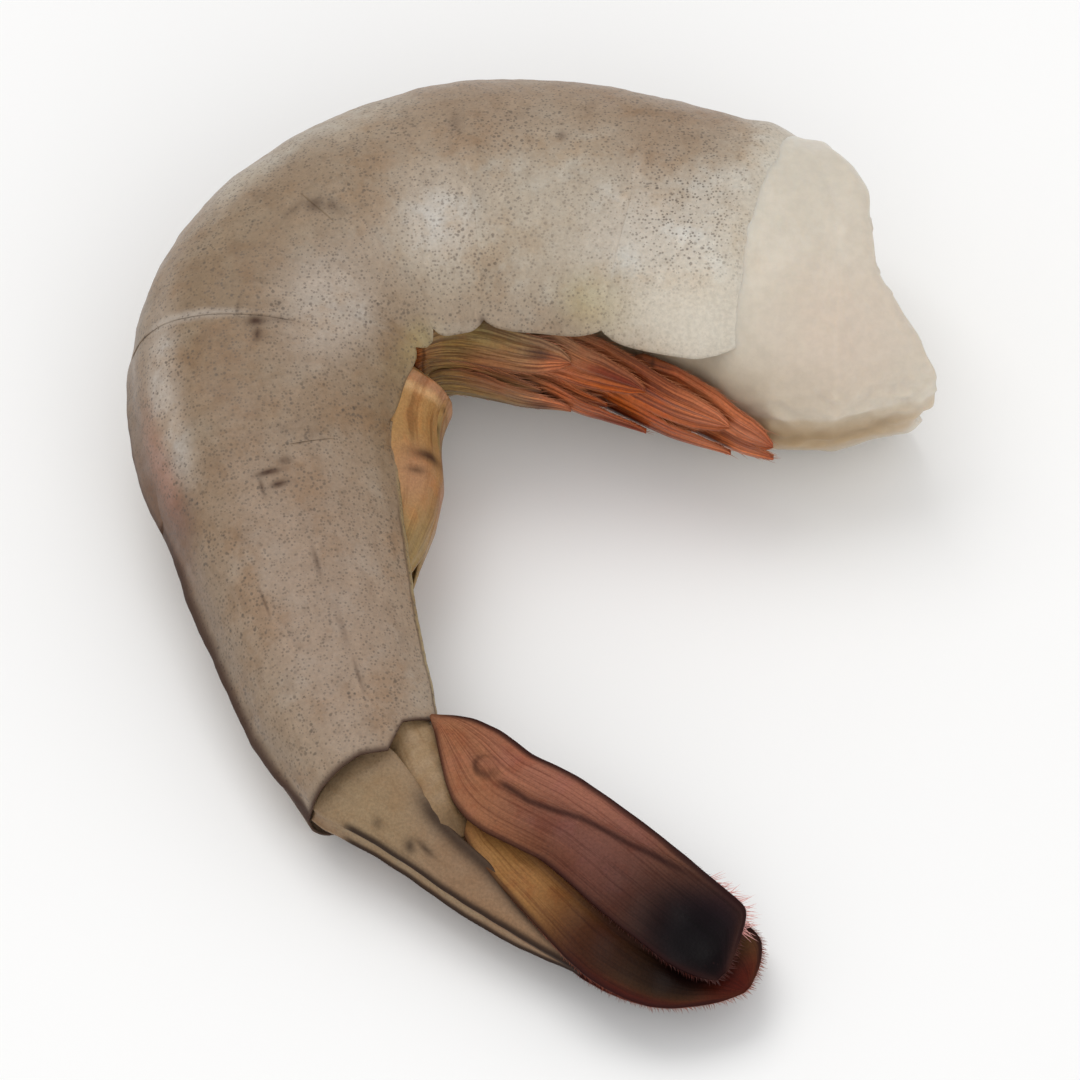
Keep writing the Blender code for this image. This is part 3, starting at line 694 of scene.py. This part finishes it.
def softTable(stations, count):
    # a table of stations made finer and eased between its rows
    table = np.array(stations, float)
    p = np.linspace(table[0, 0], table[-1, 0], count)
    fine = np.stack([np.interp(p, table[:, 0], table[:, k]) for k in range(1, table.shape[1])], axis=-1)
    for _ in range(max(2, count // 30)):
        fine[1:-1] = (fine[:-2] + 2.0 * fine[1:-1] + fine[2:]) / 4.0
    return p, fine


telson = {
    # p, q of the ridges, q of the side edges, half height, q of the underside
    "stations": ((-2.4, 3.9, -1.6, 3.2, -1.0), (-1.2, 4.0, -1.7, 3.7, -1.2), (0.4, 3.75, -1.6, 3.7, -1.2),
                 (2.5, 3.4, -1.05, 3.3, -1.0), (4.6, 3.3, -0.4, 2.9, -0.4), (6.6, 3.25, 0.05, 2.6, 0.2),
                 (9.8, 3.2, 0.2, 2.2, 0.7), (13.0, 2.9, 1.0, 1.7, 1.4), (16.5, 2.35, 1.65, 1.0, 1.75),
                 (18.3, 2.0, 1.8, 0.45, 1.85), (19.0, 1.95, 1.85, 0.2, 1.85)),
    "ridgeHalf": 0.7, "groove": 0.3, "around": 3,
    "tones": {"clay": (136, 110, 86), "pale": (146, 124, 94), "warm": (136, 102, 72), "dark": (84, 58, 38)},
    # tone, p, height share (right side positive), reach in p, reach in share, strength
    "patches": [("pale", 1.0, 0.5, 5.0, 0.6, 0.8), ("warm", 14.0, 0.4, 6.0, 0.5, 0.7),
                ("dark", 19.0, 0.3, 2.0, 0.8, 0.9),
                ("pale", 7.0, 0.0, 8.0, 0.14, 0.8), ("dark", 4.5, -0.8, 12.0, 0.4, 0.4)],
    "flecks": [(0.5, 8.0, 0.4, 12.0, 0.8, 1.0)],
    "marks": [(4.9, 0.55, 0.45, 0.1, 0.75), (5.9, 0.68, 0.9, 0.05, 0.7), (2.2, 0.5, 0.4, 0.07, 0.5),
              (3.4, 0.3, 0.9, 0.03, 0.4)]}


def buildTelson(f):
    p, rows = softTable(f["stations"], 110)
    rings, grid = [], []
    for station, (ridge, edge, half, under) in zip(p, rows):
        top = min(f["ridgeHalf"], 0.42 * half)
        depth = f["groove"] * min(1.0, (ridge - under) / 2.0)
        right = [(ridge - depth, 0.0), (ridge - 0.8 * depth, 0.6 * top), (ridge, top),
                 (ridge + 0.2 * (edge - ridge), top + 0.38 * (half - top)),
                 (ridge + 0.45 * (edge - ridge), top + 0.68 * (half - top)),
                 (ridge + 0.75 * (edge - ridge), top + 0.88 * (half - top)),
                 (edge + 0.08 * (ridge - edge), half),
                 (edge, 0.97 * half), (0.5 * (edge + under), 0.6 * half), (under, 0.25 * half)]
        ring = np.array(right + [(q, -z) for q, z in reversed(right[1:])])
        for _ in range(f["around"]):
            ahead = np.roll(ring, -1, axis=0)
            ring = np.stack([0.8 * ring + 0.2 * ahead, 0.2 * ring + 0.8 * ahead], axis=1).reshape(-1, 2)
        rings.append(fanPoint(np.full(len(ring), station), ring[:, 0], ring[:, 1]))
        spare = np.full(len(ring), station)
        grid.append(np.stack([spare, ring[:, 1] / half, ring[:, 0] - ridge, ring[:, 1], spare * 0.0 + top],
                             axis=-1))
    rings, grid = np.array(rings), np.array(grid)
    rings[..., 2] += 0.035 * ripple(rings, 3.0, 61)
    at, side, back, up, top = [grid[..., k] for k in range(5)]
    tint = tinted(at, side, f["tones"], "clay", f["patches"], f["flecks"])
    shown = smooth((at + 0.3) / 1.2)
    ridgeLine = np.exp(-((np.abs(up) - top) / 0.32) ** 4) * (back > -1.0) * shown
    edgeLine = np.exp(-((np.abs(side) - 0.97) / 0.09) ** 2) * smooth((at - 2.0) / 3.0)
    stain = np.maximum(0.95 * ridgeLine, np.maximum(0.85 * edgeLine, marked(at, side, f["marks"])))
    uv = np.stack([at / 20.0, side * 0.5 + 0.5], axis=-1)
    return tube("telsonPiece", rings, tint, uv, np.clip(stain, 0.0, 1.0))


finishPiece(buildTelson(telson), telsonMaterial, "tail_shell", "telson")

outerBlade = {
    # p, q of the inner edge, q of the outer edge
    "stations": ((0.2, -5.15, -5.4), (1.4, -4.3, -6.3), (2.5, -3.35, -7.0), (4.3, -1.9, -7.5),
                 (5.6, -1.1, -7.5),
                 (7.0, -0.7, -7.5), (8.6, -0.75, -7.9), (10.5, -1.2, -8.3), (12.6, -1.7, -8.4),
                 (14.9, -1.6, -8.5),
                 (17.5, -1.35, -8.5), (20.1, -1.3, -8.35), (23.9, -1.3, -8.25), (25.0, -1.5, -8.1),
                 (25.6, -1.7, -7.0), (26.3, -2.0, -5.5), (27.0, -2.5, -3.7)),
    "offset": (3.75, 2.0), "thickness": 0.45, "dome": 0.3, "wave": 0.03,
    "ridge": ((6.2, -4.3), (9.3, -4.6), (11.4, -5.35), (12.7, -5.95), (14.3, -6.3), (16.0, -6.55),
              (19.0, -7.3), (22.0, -7.8)),
    # knob: p, q, radius, height
    "ridgeHeight": 0.3, "ridgeStain": 0.8, "knob": (5.6, -4.5, 0.75, 0.4), "base": "tan",
    "tones": {"tan": (148, 98, 68), "pink": (152, 98, 80), "mauve": (108, 68, 60), "brown": (92, 50, 32),
              "plum": (36, 16, 26), "black": (8, 3, 6), "wine": (50, 14, 12)},
    # tone, p, share across from the back edge, reaches, strength
    "patches": [("tan", 2.0, 0.5, 6.0, 0.9, 0.9), ("pink", 11.0, 0.85, 7.5, 0.28, 0.9),
                ("mauve", 13.0, 0.4, 5.0, 0.3, 0.8),
                ("brown", 15.5, 0.1, 5.5, 0.22, 0.9), ("mauve", 16.5, 0.5, 3.5, 0.5, 0.7),
                ("plum", 24.0, 0.5, 6.0, 0.9, 1.0),
                ("black", 24.6, 0.3, 6.2, 0.7, 1.0), ("wine", 27.4, 0.4, 0.6, 0.9, 0.5)]}
innerBlade = {
    "stations": ((4.2, -3.0, -5.6), (6.0, -0.9, -6.4), (8.5, 0.4, -6.8), (11.5, 1.1, -7.0),
                 (14.5, 1.7, -7.2),
                 (18.0, 2.4, -7.4), (20.0, 2.6, -7.5), (21.6, 2.45, -7.6), (23.2, 2.1, -7.7),
                 (24.6, 1.5, -7.75),
                 (25.7, 0.65, -7.75), (26.7, -0.55, -7.5), (27.6, -1.8, -6.4), (28.2, -3.0, -5.0),
                 (28.4, -3.6, -4.3)),
    "offset": (2.55, 0.9), "thickness": 0.4, "dome": 0.2, "wave": 0.03,
    "ridge": ((5.0, -3.6), (12.0, -2.0), (20.0, -1.6), (26.0, -2.6)), "ridgeHeight": 0.2, "ridgeStain": 0.4,
    "knob": None,
    "base": "amber", "tones": {"amber": (146, 102, 58), "ochre": (156, 114, 66), "brown": (76, 38, 20),
                               "black": (16, 5, 5), "red": (78, 20, 11)},
    "patches": [("ochre", 11.0, 0.08, 4.0, 0.2, 0.8), ("brown", 19.0, 0.15, 4.0, 0.5, 0.95),
                ("black", 25.0, 0.4, 7.5, 0.75, 1.0),
                ("red", 23.5, 0.0, 4.5, 0.07, 0.9), ("red", 28.0, 0.5, 1.5, 0.9, 0.8)]}


def buildBlade(name, f, side):
    p, rows = softTable(f["stations"], 130)
    across = np.linspace(0.0, 1.0, 72)
    station = p[:, None] * np.ones_like(across)
    q = rows[:, :1] + (rows[:, 1:] - rows[:, :1]) * across
    share = np.clip(station / fan["length"], 0.0, 1.0)
    bulge = (1.0 - (2.0 * across - 1.0) ** 2) * np.ones_like(station)
    ends = smooth((station - p[0]) / 1.6) * smooth((p[-1] - station) / 1.2)
    middle = f["offset"][0] + (f["offset"][1] - f["offset"][0]) * share
    half = 0.5 * f["thickness"] * (0.35 + 0.65 * bulge ** 0.5) * (0.4 + 0.6 * ends)
    ridge = np.array(f["ridge"])
    shown = smooth((station - ridge[0, 0]) / 1.5) * smooth((ridge[-1, 0] - station) / 3.0)
    away = q - np.interp(station, ridge[:, 0], ridge[:, 1])
    second = 0.1 * np.exp(-((away + 1.1) / 0.4) ** 2)   # a lower ridge beside the first
    relief = shown * (f["ridgeHeight"] * np.exp(-(away / 0.26) ** 2) + second)
    width = rows[:, :1] - rows[:, 1:]
    edgeIn = np.exp(-(across * width / 0.3) ** 2)
    edgeOut = np.exp(-((1.0 - across) * width / 0.46) ** 4)
    relief = relief + (0.10 * edgeOut + 0.06 * edgeIn) * ends
    stain = np.maximum(0.95 * edgeOut, 0.8 * edgeIn) * (0.4 + 0.6 * ends)
    stain = np.maximum(stain, f["ridgeStain"] * shown * np.exp(-((away - 0.24) / 0.2) ** 2))
    if f["knob"]:
        kp, kq, kr, kh = f["knob"]
        around = np.sqrt((station - kp) ** 2 + (q - kq) ** 2)
        relief = relief + kh * np.exp(-(around / kr) ** 3)
        uneven = 0.4 + 0.3 * np.cos(np.arctan2(q - kq, station - kp) - 2.0)
        stain = np.maximum(stain, uneven * np.exp(-((around - kr) / 0.22) ** 2))
    tuck = smooth(station / 10.0) * (0.0 if side > 0 else 1.0)
    at, aside = station - fan["tuck"][0] * tuck, q - fan["tuck"][1] * tuck
    lift = side * (middle + 0.6 * f["dome"] * bulge * ends)
    top, bottom = fanPoint(at, aside, lift + half), fanPoint(at, aside, lift - half)
    outerFace, innerFace = (top, bottom) if side > 0 else (bottom, top)
    outerFace[..., 2] += side * (relief + f["wave"] * ripple(top, 3.2, 41) * ends)
    innerFace[..., 2] += side * 0.4 * relief
    outerFace[..., 2] = np.maximum(outerFace[..., 2], 0.02)
    uv = np.stack([station / 30.0, across * np.ones_like(station)], axis=-1)
    tint = tinted(station, uv[..., 1], f["tones"], f["base"], f["patches"])
    return slab(name, outerFace, innerFace, tint, uv, stain), p, rows


bladeEdges = {}
for word, side in (("Right", 1), ("Left", -1)):
    for kind, f, node in (("outer", outerBlade, "uropod_outer_"), ("inner", innerBlade, "uropod_inner_")):
        piece, p, rows = buildBlade(kind + "Blade" + word, f, side)
        finishPiece(piece, fanMaterial, "fan_blade", node + word.lower())
        bladeEdges[kind + word] = (p, rows, f, side)

# p, q and height of its two ends, half width and half height, size along it
bladeJoint = {"from": (-3.2, -5.3, 2.35), "to": (7.2, 0.1, 2.2), "half": (1.95, 1.3),
              "sizes": ((0.0, 0.08, 0.2, 0.6, 0.9, 1.0), (0.4, 0.75, 0.95, 1.0, 0.55, 0.15)),
              "tones": {"clay": (140, 113, 82), "pale": (156, 130, 98), "dark": (98, 74, 48)},
              "patches": [("pale", 0.35, 0.25, 0.3, 0.2, 0.8), ("dark", 0.95, 0.25, 0.12, 0.4, 0.8)],
              "marks": [(0.3, 0.42, 0.3, 0.02, 0.6), (0.75, 0.46, 0.16, 0.03, 0.8),
                        (0.62, 0.3, 0.16, 0.02, 0.4)]}


def buildJoint(name, f, side):
    turn = np.linspace(0.0, 2 * np.pi, 60, endpoint=False)
    t = np.linspace(0.0, 1.0, 60)[:, None]
    size = np.interp(t, *f["sizes"])
    start, end = np.array(f["from"]), np.array(f["to"])
    p, q, offset = [start[k] + (end[k] - start[k]) * t for k in range(3)]
    wide = f["half"][0] * size * np.cos(turn)
    run = math.atan2(end[1] - start[1], end[0] - start[0])
    lift = side * (offset + f["half"][1] * size * np.sin(turn))
    rings = fanPoint(p - wide * math.sin(run), q + wide * math.cos(run), lift)
    rings[..., 2] += 0.07 * ripple(rings, 1.8, 51)
    uv = np.stack(np.broadcast_arrays(t, turn / 6.283), axis=-1)
    tint = tinted(uv[..., 0], uv[..., 1], f["tones"], "clay", f["patches"])
    edge = 0.85 * np.exp(-((uv[..., 1] - 0.5) / 0.05) ** 2)
    return tube(name, rings, tint, uv, np.maximum(edge, marked(uv[..., 0], uv[..., 1], f["marks"])))


for word, side in (("Right", 1), ("Left", -1)):
    piece = buildJoint("bladeJoint" + word, bladeJoint, side)
    finishPiece(piece, telsonMaterial, "tail_shell", "uropod_base_" + word.lower())
print("tail fan made")

# swimmerets folded along the belly
swimmerets = {
    # s of root and tip, distance off the belly there, angle of the right and of the left one at root and tip;
    # the fifth pair takes its distance from lastOff, by the share along it
    "leaves": ((14.5, 6.0, 0.9, 2.5, (167.0, 184.0), (168.0, 164.0)),
               (23.0, 8.5, 0.9, 3.2, (163.0, 176.0), (168.0, 162.0)),
               (31.5, 13.5, 0.9, 3.6, (162.0, 168.0), (170.0, 161.0)),
               (40.0, 19.0, 0.8, 3.7, (161.0, 164.0), (172.0, 163.0)),
               (44.8, 65.0, 0.0, 0.0, (164.0, 158.0), (168.0, 162.0))),
    "lastOff": ((0.0, 0.1, 0.6, 0.74, 0.84, 1.0), (2.6, 3.9, 4.1, 3.4, 2.5, 1.0)),
    # half width in degrees and thickness, and how both change along a leaf
    "reach": 13.0, "thick": 1.0, "lastReach": 29.0, "lastThick": 1.7, "lastTilt": 1.5,
    "widths": ((0.0, 0.05, 0.15, 0.3, 0.6, 0.85, 0.95, 1.0), (0.35, 0.55, 0.7, 0.9, 1.0, 0.75, 0.45, 0.12)),
    "thicks": ((0.0, 0.05, 0.15, 0.3, 1.0), (0.5, 0.9, 1.0, 0.42, 0.22)),
    "lastWidths": ((0.0, 0.06, 0.3, 0.6, 0.85, 1.0), (0.55, 0.9, 1.0, 1.0, 0.75, 0.15)),
    "lastThicks": ((0.0, 0.1, 0.55, 0.8, 1.0), (0.6, 1.0, 0.95, 0.6, 0.15)),
    # the two leaves of each: turn towards the belly's middle, drop, width and length against the first
    "parts": ((0.0, 0.0, 1.0, 1.0), (9.0, 0.5, 0.6, 0.86)),
    "tones": {"rust": (160, 80, 36), "olive": (140, 120, 70), "tan": (166, 128, 92),
              "salmon": (206, 122, 80),
              "wine": (112, 36, 20), "orange": (188, 92, 34), "brown": (86, 46, 24),
              "amber": (168, 126, 76),
              "rose": (172, 126, 94), "moss": (150, 128, 82), "cream": (206, 168, 122)},
    # tone, s, share across from the flap to the belly's middle, reaches, strength
    "patches": [("tan", 24.0, 0.3, 8.0, 0.8, 0.95), ("olive", 28.0, 0.1, 5.0, 0.45, 0.9),
                ("salmon", 19.5, 0.75, 3.0, 0.5, 0.95),
                ("brown", 22.0, 0.4, 1.5, 0.25, 0.8), ("wine", 15.0, 0.4, 3.0, 0.22, 0.9),
                ("orange", 15.0, 0.9, 4.0, 0.3, 0.9),
                ("salmon", 9.0, 0.4, 3.5, 0.5, 0.85), ("olive", 34.0, 0.5, 5.0, 1.0, 0.8)],
    "lastPatches": [("moss", 44.8, 0.5, 1.6, 1.0, 0.9), ("rose", 47.6, 0.5, 1.2, 0.6, 0.9),
                    ("cream", 49.0, 0.35, 0.7, 0.3, 0.8),
                    ("rose", 57.8, 0.3, 2.6, 0.25, 0.8), ("rose", 57.8, 0.85, 2.6, 0.15, 0.8),
                    ("moss", 53.0, 0.9, 3.0, 0.16, 0.9), ("moss", 64.0, 0.5, 4.0, 1.0, 0.85)],
    "lastMarks": [(56.0, 0.45, 0.45, 0.2, 1.0), (57.3, 0.3, 0.3, 0.1, 0.7), (49.2, 0.85, 0.6, 0.1, 0.8),
                  (52.6, 0.97, 0.8, 0.05, 0.9)]}


def swimRing(t, number, part, side, f, turn):
    root, tip, near, far, rightAt, leftAt = f["leaves"][number]
    towards, drop, widthShare, lengthShare = f["parts"][part]
    last = number == 4
    width = np.interp(t, *f["lastWidths" if last else "widths"])
    t = t * lengthShare
    thick = np.interp(t, *f["lastThicks" if last else "thicks"]) * f["lastThick" if last else "thick"]
    first, final = rightAt if side > 0 else leftAt
    reach = f["lastReach" if last else "reach"] * widthShare
    degrees = first + (final - first) * t + towards + reach * width * np.cos(turn)
    crest = (0.1 * np.cos(3.0 * turn) + 0.05 * np.cos(11.0 * turn)) * smooth(t * 5.0) * np.abs(np.sin(turn))
    off = near + (far - near) * t ** 1.5 * (1.0 - 0.32 * smooth((t - 0.72) / 0.28)) - drop * t
    if last:
        off = np.interp(t, *f["lastOff"]) - 0.4 * drop - f["lastTilt"] * (0.5 - 0.5 * np.cos(turn)) ** 1.5
    off = off + 0.5 * thick * widthShare * np.sin(turn) + crest
    s = np.full_like(turn, root + (tip - root) * t)
    return bodyPoint(s, side * np.radians(degrees), off, floor=0.3, spread=0.1)[0]


def buildSwimmeret(number, side, f):
    turn = np.linspace(0.0, 2 * np.pi, 66, endpoint=False)
    steps = np.linspace(0.0, 1.0, 80)
    made = []
    for part in range(len(f["parts"])):
        rings = np.array([swimRing(t, number, part, side, f, turn) for t in steps])
        uv = np.stack(np.broadcast_arrays(steps[:, None], (np.cos(turn) * 0.5 + 0.5)[None]), axis=-1)
        root, tip = f["leaves"][number][:2]
        s = root + (tip - root) * f["parts"][part][3] * uv[..., 0]
        last = number == 4
        base, patches = ("amber", "lastPatches") if last else ("rust", "patches")
        tint = tinted(s, uv[..., 1], f["tones"], base, f[patches])
        stain = 0.4 * np.exp(-((np.abs(uv[..., 1] - 0.5) - 0.5) / 0.04) ** 2)
        if last:
            stain = np.maximum(0.5 * stain, marked(s, uv[..., 1], f["lastMarks"]))
        else:
            stain = np.maximum(stain, 0.6 * np.exp(-((uv[..., 0] - 0.13) / 0.02) ** 2))
        uv = np.stack([uv[..., 0] * abs(root - tip) / 17.0 + number + 0.37 * part, uv[..., 1]], axis=-1)
        made.append(tube(f"leaf{part}", rings, tint, uv, stain))
    bpy.ops.object.select_all(action="DESELECT")
    for leaf in made:
        leaf.select_set(True)
    bpy.context.view_layer.objects.active = made[0]
    bpy.ops.object.join()
    made[0].name = made[0].data.name = f"swimmeret{'Right' if side > 0 else 'Left'}{number + 1}"
    return made[0]


for word, side in (("right", 1), ("left", -1)):
    for number in range(5):
        piece = buildSwimmeret(number, side, swimmerets)
        finishPiece(piece, lastSwimMaterial if number == 4 else swimMaterial, "swimmeret_skin",
                    f"swimmeret_{word}_{number + 1}")
print("swimmerets made")

# bristles along the blades' and swimmerets' edges, by Geometry Nodes
# growAlong: how long the blades' ones are, by p
bristles = {"perMm": 10.0, "growAlong": ((8.0, 14.0, 24.0, 28.0), (0.0, 0.35, 0.8, 1.0)),
            "blade": {"length": 0.5, "thickness": 0.028, "spread": 0.35, "seed": 3},
            "corner": {"length": 1.0, "thickness": 0.04, "spread": 0.5, "seed": 5},
            "swim": {"length": 1.1, "thickness": 0.026, "spread": 0.22, "seed": 7}}


def bristleTree():
    tree = bpy.data.node_groups.new("edgeBristles", "GeometryNodeTree")
    face = tree.interface
    face.new_socket("Geometry", in_out="INPUT", socket_type="NodeSocketGeometry")
    for label, value in (("Length", 0.7), ("Thickness", 0.03), ("Spread", 0.3)):
        face.new_socket(label, in_out="INPUT", socket_type="NodeSocketFloat").default_value = value
    face.new_socket("Seed", in_out="INPUT", socket_type="NodeSocketInt").default_value = 1
    face.new_socket("Material", in_out="INPUT", socket_type="NodeSocketMaterial")
    face.new_socket("Geometry", in_out="OUTPUT", socket_type="NodeSocketGeometry")
    new, link = tree.nodes.new, tree.links.new
    start, end = new("NodeGroupInput"), new("NodeGroupOutput")
    cone = new("GeometryNodeMeshCone")
    cone.fill_type = "TRIANGLE_FAN"
    cone.inputs["Vertices"].default_value = 4
    cone.inputs["Radius Top"].default_value = 0.0
    link(start.outputs["Thickness"], cone.inputs["Radius Bottom"])
    link(start.outputs["Length"], cone.inputs["Depth"])
    aim = new("GeometryNodeInputNamedAttribute")
    aim.data_type = "FLOAT_VECTOR"
    aim.inputs["Name"].default_value = "aim"
    grow = new("GeometryNodeInputNamedAttribute")
    grow.inputs["Name"].default_value = "grow"
    wild = new("FunctionNodeRandomValue")
    wild.data_type = "FLOAT_VECTOR"
    wild.inputs[0].default_value, wild.inputs[1].default_value = (-1.0, -1.0, -1.0), (1.0, 1.0, 1.0)
    link(start.outputs["Seed"], wild.inputs["Seed"])
    spread = new("ShaderNodeVectorMath")
    spread.operation = "SCALE"
    link(wild.outputs[0], spread.inputs[0])
    link(start.outputs["Spread"], spread.inputs["Scale"])
    lean = new("ShaderNodeVectorMath")
    link(aim.outputs["Attribute"], lean.inputs[0])
    link(spread.outputs[0], lean.inputs[1])
    turn = new("FunctionNodeAlignRotationToVector")
    turn.axis = "Z"
    link(lean.outputs[0], turn.inputs["Vector"])
    some = new("FunctionNodeRandomValue")
    some.inputs[2].default_value, some.inputs[3].default_value = 0.6, 1.25
    link(start.outputs["Seed"], some.inputs["Seed"])
    size = new("ShaderNodeMath")
    size.operation = "MULTIPLY"
    link(grow.outputs["Attribute"], size.inputs[0])
    link(some.outputs[1], size.inputs[1])
    put = new("GeometryNodeInstanceOnPoints")
    link(start.outputs["Geometry"], put.inputs["Points"])
    link(cone.outputs["Mesh"], put.inputs["Instance"])
    link(turn.outputs["Rotation"], put.inputs["Rotation"])
    link(size.outputs[0], put.inputs["Scale"])
    real, paint = new("GeometryNodeRealizeInstances"), new("GeometryNodeSetMaterial")
    link(put.outputs["Instances"], real.inputs["Geometry"])
    link(real.outputs["Geometry"], paint.inputs["Geometry"])
    link(start.outputs["Material"], paint.inputs["Material"])
    link(paint.outputs["Geometry"], end.inputs["Geometry"])
    return tree


def bristlePiece(name, roots, aims, grows, tree, look, material, slotName):
    # points with an aim and a growth each become bristles, then a plain mesh
    mesh = bpy.data.meshes.new(name + "Roots")
    mesh.from_pydata(roots * mm, [], [])
    aimLayer = mesh.attributes.new("aim", "FLOAT_VECTOR", "POINT")
    aimLayer.data.foreach_set("vector", np.asarray(aims, float).ravel())
    growLayer = mesh.attributes.new("grow", "FLOAT", "POINT")
    growLayer.data.foreach_set("value", np.asarray(grows, float))
    holder = addObject(name + "Roots", mesh)
    mod = holder.modifiers.new("bristles", "NODES")
    mod.node_group = tree
    ids = {item.name: item.identifier for item in tree.interface.items_tree if item.in_out == "INPUT"}
    mod[ids["Length"]], mod[ids["Thickness"]] = look["length"] * mm, look["thickness"] * mm
    mod[ids["Spread"]], mod[ids["Seed"]], mod[ids["Material"]] = look["spread"], look["seed"], material
    view = holder.evaluated_get(bpy.context.evaluated_depsgraph_get())
    made = bpy.data.meshes.new_from_object(view)
    holder.modifiers.remove(mod)
    bpy.data.objects.remove(holder, do_unlink=True)
    made.name = name
    finishPiece(addObject(name, made), material, slotName)


def plainHair(name, colour):
    mat, tree, shader = startMaterial(name)
    where = tree.nodes.new("ShaderNodeTexCoord").outputs["Object"]
    noise = textureNode(tree, "ShaderNodeTexNoise", where, 900.0, Detail=2.0)
    root, tip = [tuple(srgb(*tone)) + (1.0,) for tone in colour]
    tree.links.new(mixColour(tree, noise.outputs["Fac"], root, tip), shader.inputs["Base Color"])
    shader.inputs["Roughness"].default_value = 0.45
    return mat


fanHair = plainHair("fanBristles", ((104, 40, 28), (176, 98, 72)))
darkHair = plainHair("darkBristles", ((46, 16, 14), (98, 42, 32)))
paleHair = plainHair("cornerBristles", ((196, 118, 112), (238, 196, 190)))
swimHair = plainHair("swimmeretBristles", ((146, 72, 36), (198, 128, 84)))
hairTree = bristleTree()
for key, (p, rows, f, side) in bladeEdges.items():
    inner, outer = np.c_[p, rows[:, 0]], np.c_[p, rows[:, 1]]
    line = np.concatenate([inner[int(len(p) * 0.35):], outer[::-1][:int(len(p) * 0.3)]])
    step = np.append(0, np.cumsum(np.linalg.norm(np.diff(line, axis=0), axis=1)))
    want = np.linspace(0, step[-1], int(step[-1] * bristles["perMm"]))
    pq = np.stack([np.interp(want, step, line[:, k]) for k in (0, 1)], axis=-1)
    tangent = np.gradient(pq, axis=0)
    normal = np.stack([tangent[:, 1], -tangent[:, 0]], axis=-1)
    normal /= np.linalg.norm(normal, axis=1)[:, None]
    if (normal * (pq - pq.mean(axis=0))).sum() < 0:
        normal = -normal
    middle = side * (f["offset"][0] + (f["offset"][1] - f["offset"][0])
                     * np.clip(pq[:, 0] / fan["length"], 0, 1))
    grows = np.interp(pq[:, 0], *bristles["growAlong"])
    if side < 0:
        pq = pq - np.array(fan["tuck"]) * smooth(pq[:, :1] / 10.0)
    roots = fanPoint(pq[:, 0], pq[:, 1], middle)
    tips = fanPoint(pq[:, 0] + normal[:, 0] + 0.7, pq[:, 1] + normal[:, 1], middle)
    aims = tips - roots
    aims /= np.linalg.norm(aims, axis=1)[:, None]
    if key == "outerRight":
        corner = (pq[:, 1] < -6.4) & (pq[:, 0] > 21.5)
        bristlePiece("cornerBristles", roots[corner], aims[corner], np.ones(corner.sum()), hairTree,
                     bristles["corner"], paleHair, "fan_blade")
        roots, aims, grows = roots[~corner], aims[~corner], grows[~corner]
    bristlePiece(key + "Bristles", roots, aims, grows, hairTree, bristles["blade"],
                 darkHair if key.startswith("outer") else fanHair, "fan_blade")
for word, side in (("Right", 1), ("Left", -1)):
    roots, aims, grows = [], [], []
    for number in range(4):
        for part in range(2):
            for t in np.linspace(0.35, 0.98, 40):
                inside = swimRing(t, number, part, side, swimmerets, np.array([math.pi / 2]))[0]
                for turn in (0.0, math.pi):
                    here = swimRing(t, number, part, side, swimmerets, np.array([turn]))[0]
                    ahead = swimRing(t + 0.02, number, part, side, swimmerets, np.array([turn]))[0]
                    away = (here - inside) / (np.linalg.norm(here - inside) + 1e-6)
                    go = (ahead - here) / (np.linalg.norm(ahead - here) + 1e-6) + 0.3 * away
                    roots.append(here)
                    aims.append(go / np.linalg.norm(go))
                    grows.append(0.5 + 0.5 * t)
    bristlePiece("swimmeretBristles" + word, np.array(roots), aims, grows, hairTree, bristles["swim"],
                 swimHair,
                 "swimmeret_skin")
print("bristles made")

# floor and light
# metres; the floor's half side, its darker patches' share, the room light's strength
stageSet = {"floor": (0.95, 0.95, 0.95), "size": 1.6, "dim": 0.985, "world": 0.69,
            "key": {"at": (-0.3, 0.45, 0.9), "size": 0.7, "power": 3.3, "colour": (1.0, 0.99, 0.97)},
            "fill": {"at": (0.25, -0.85, 0.55), "size": 0.9, "power": 3.2, "colour": (1.0, 0.995, 0.98)}}


def addLight(name, look):
    data = bpy.data.lights.new(name, "AREA")
    data.size, data.energy, data.color = look["size"], look["power"], look["colour"]
    lamp = addObject(name, data)
    lamp.location = look["at"]
    x, y, z = look["at"]
    lamp.rotation_euler = (math.atan2(math.hypot(x, y), z), 0.0, math.atan2(x, -y))


def addStage(f):
    half = f["size"]
    mesh = bpy.data.meshes.new("floor")
    mesh.from_pydata([(-half, -half, 0.0), (half, -half, 0.0), (half, half, 0.0), (-half, half, 0.0)], [],
                     [(0, 1, 2, 3)])
    floor = addObject("floor", mesh)
    mat, tree, shader = startMaterial("paleFloor")
    where = tree.nodes.new("ShaderNodeTexCoord").outputs["Object"]
    noise = textureNode(tree, "ShaderNodeTexNoise", where, 30.0, Detail=2.0)
    light = f["floor"] + (1.0,)
    dim = tuple(c * f["dim"] for c in f["floor"]) + (1.0,)
    tree.links.new(mixColour(tree, noise.outputs["Fac"], light, dim), shader.inputs["Base Color"])
    shader.inputs["Roughness"].default_value = 0.55
    shader.inputs["Specular IOR Level"].default_value = 0.2
    mesh.materials.append(mat)
    world = bpy.data.worlds.new("studio")
    bpy.context.scene.world = world
    world.use_nodes = True
    room = world.node_tree.nodes["Background"].inputs
    room["Color"].default_value, room["Strength"].default_value = (1.0, 1.0, 1.0, 1.0), f["world"]
    addLight("keyLight", f["key"])
    addLight("fillLight", f["fill"])
    bpy.context.scene.view_settings.view_transform = "Standard"


addStage(stageSet)
print("stage made")
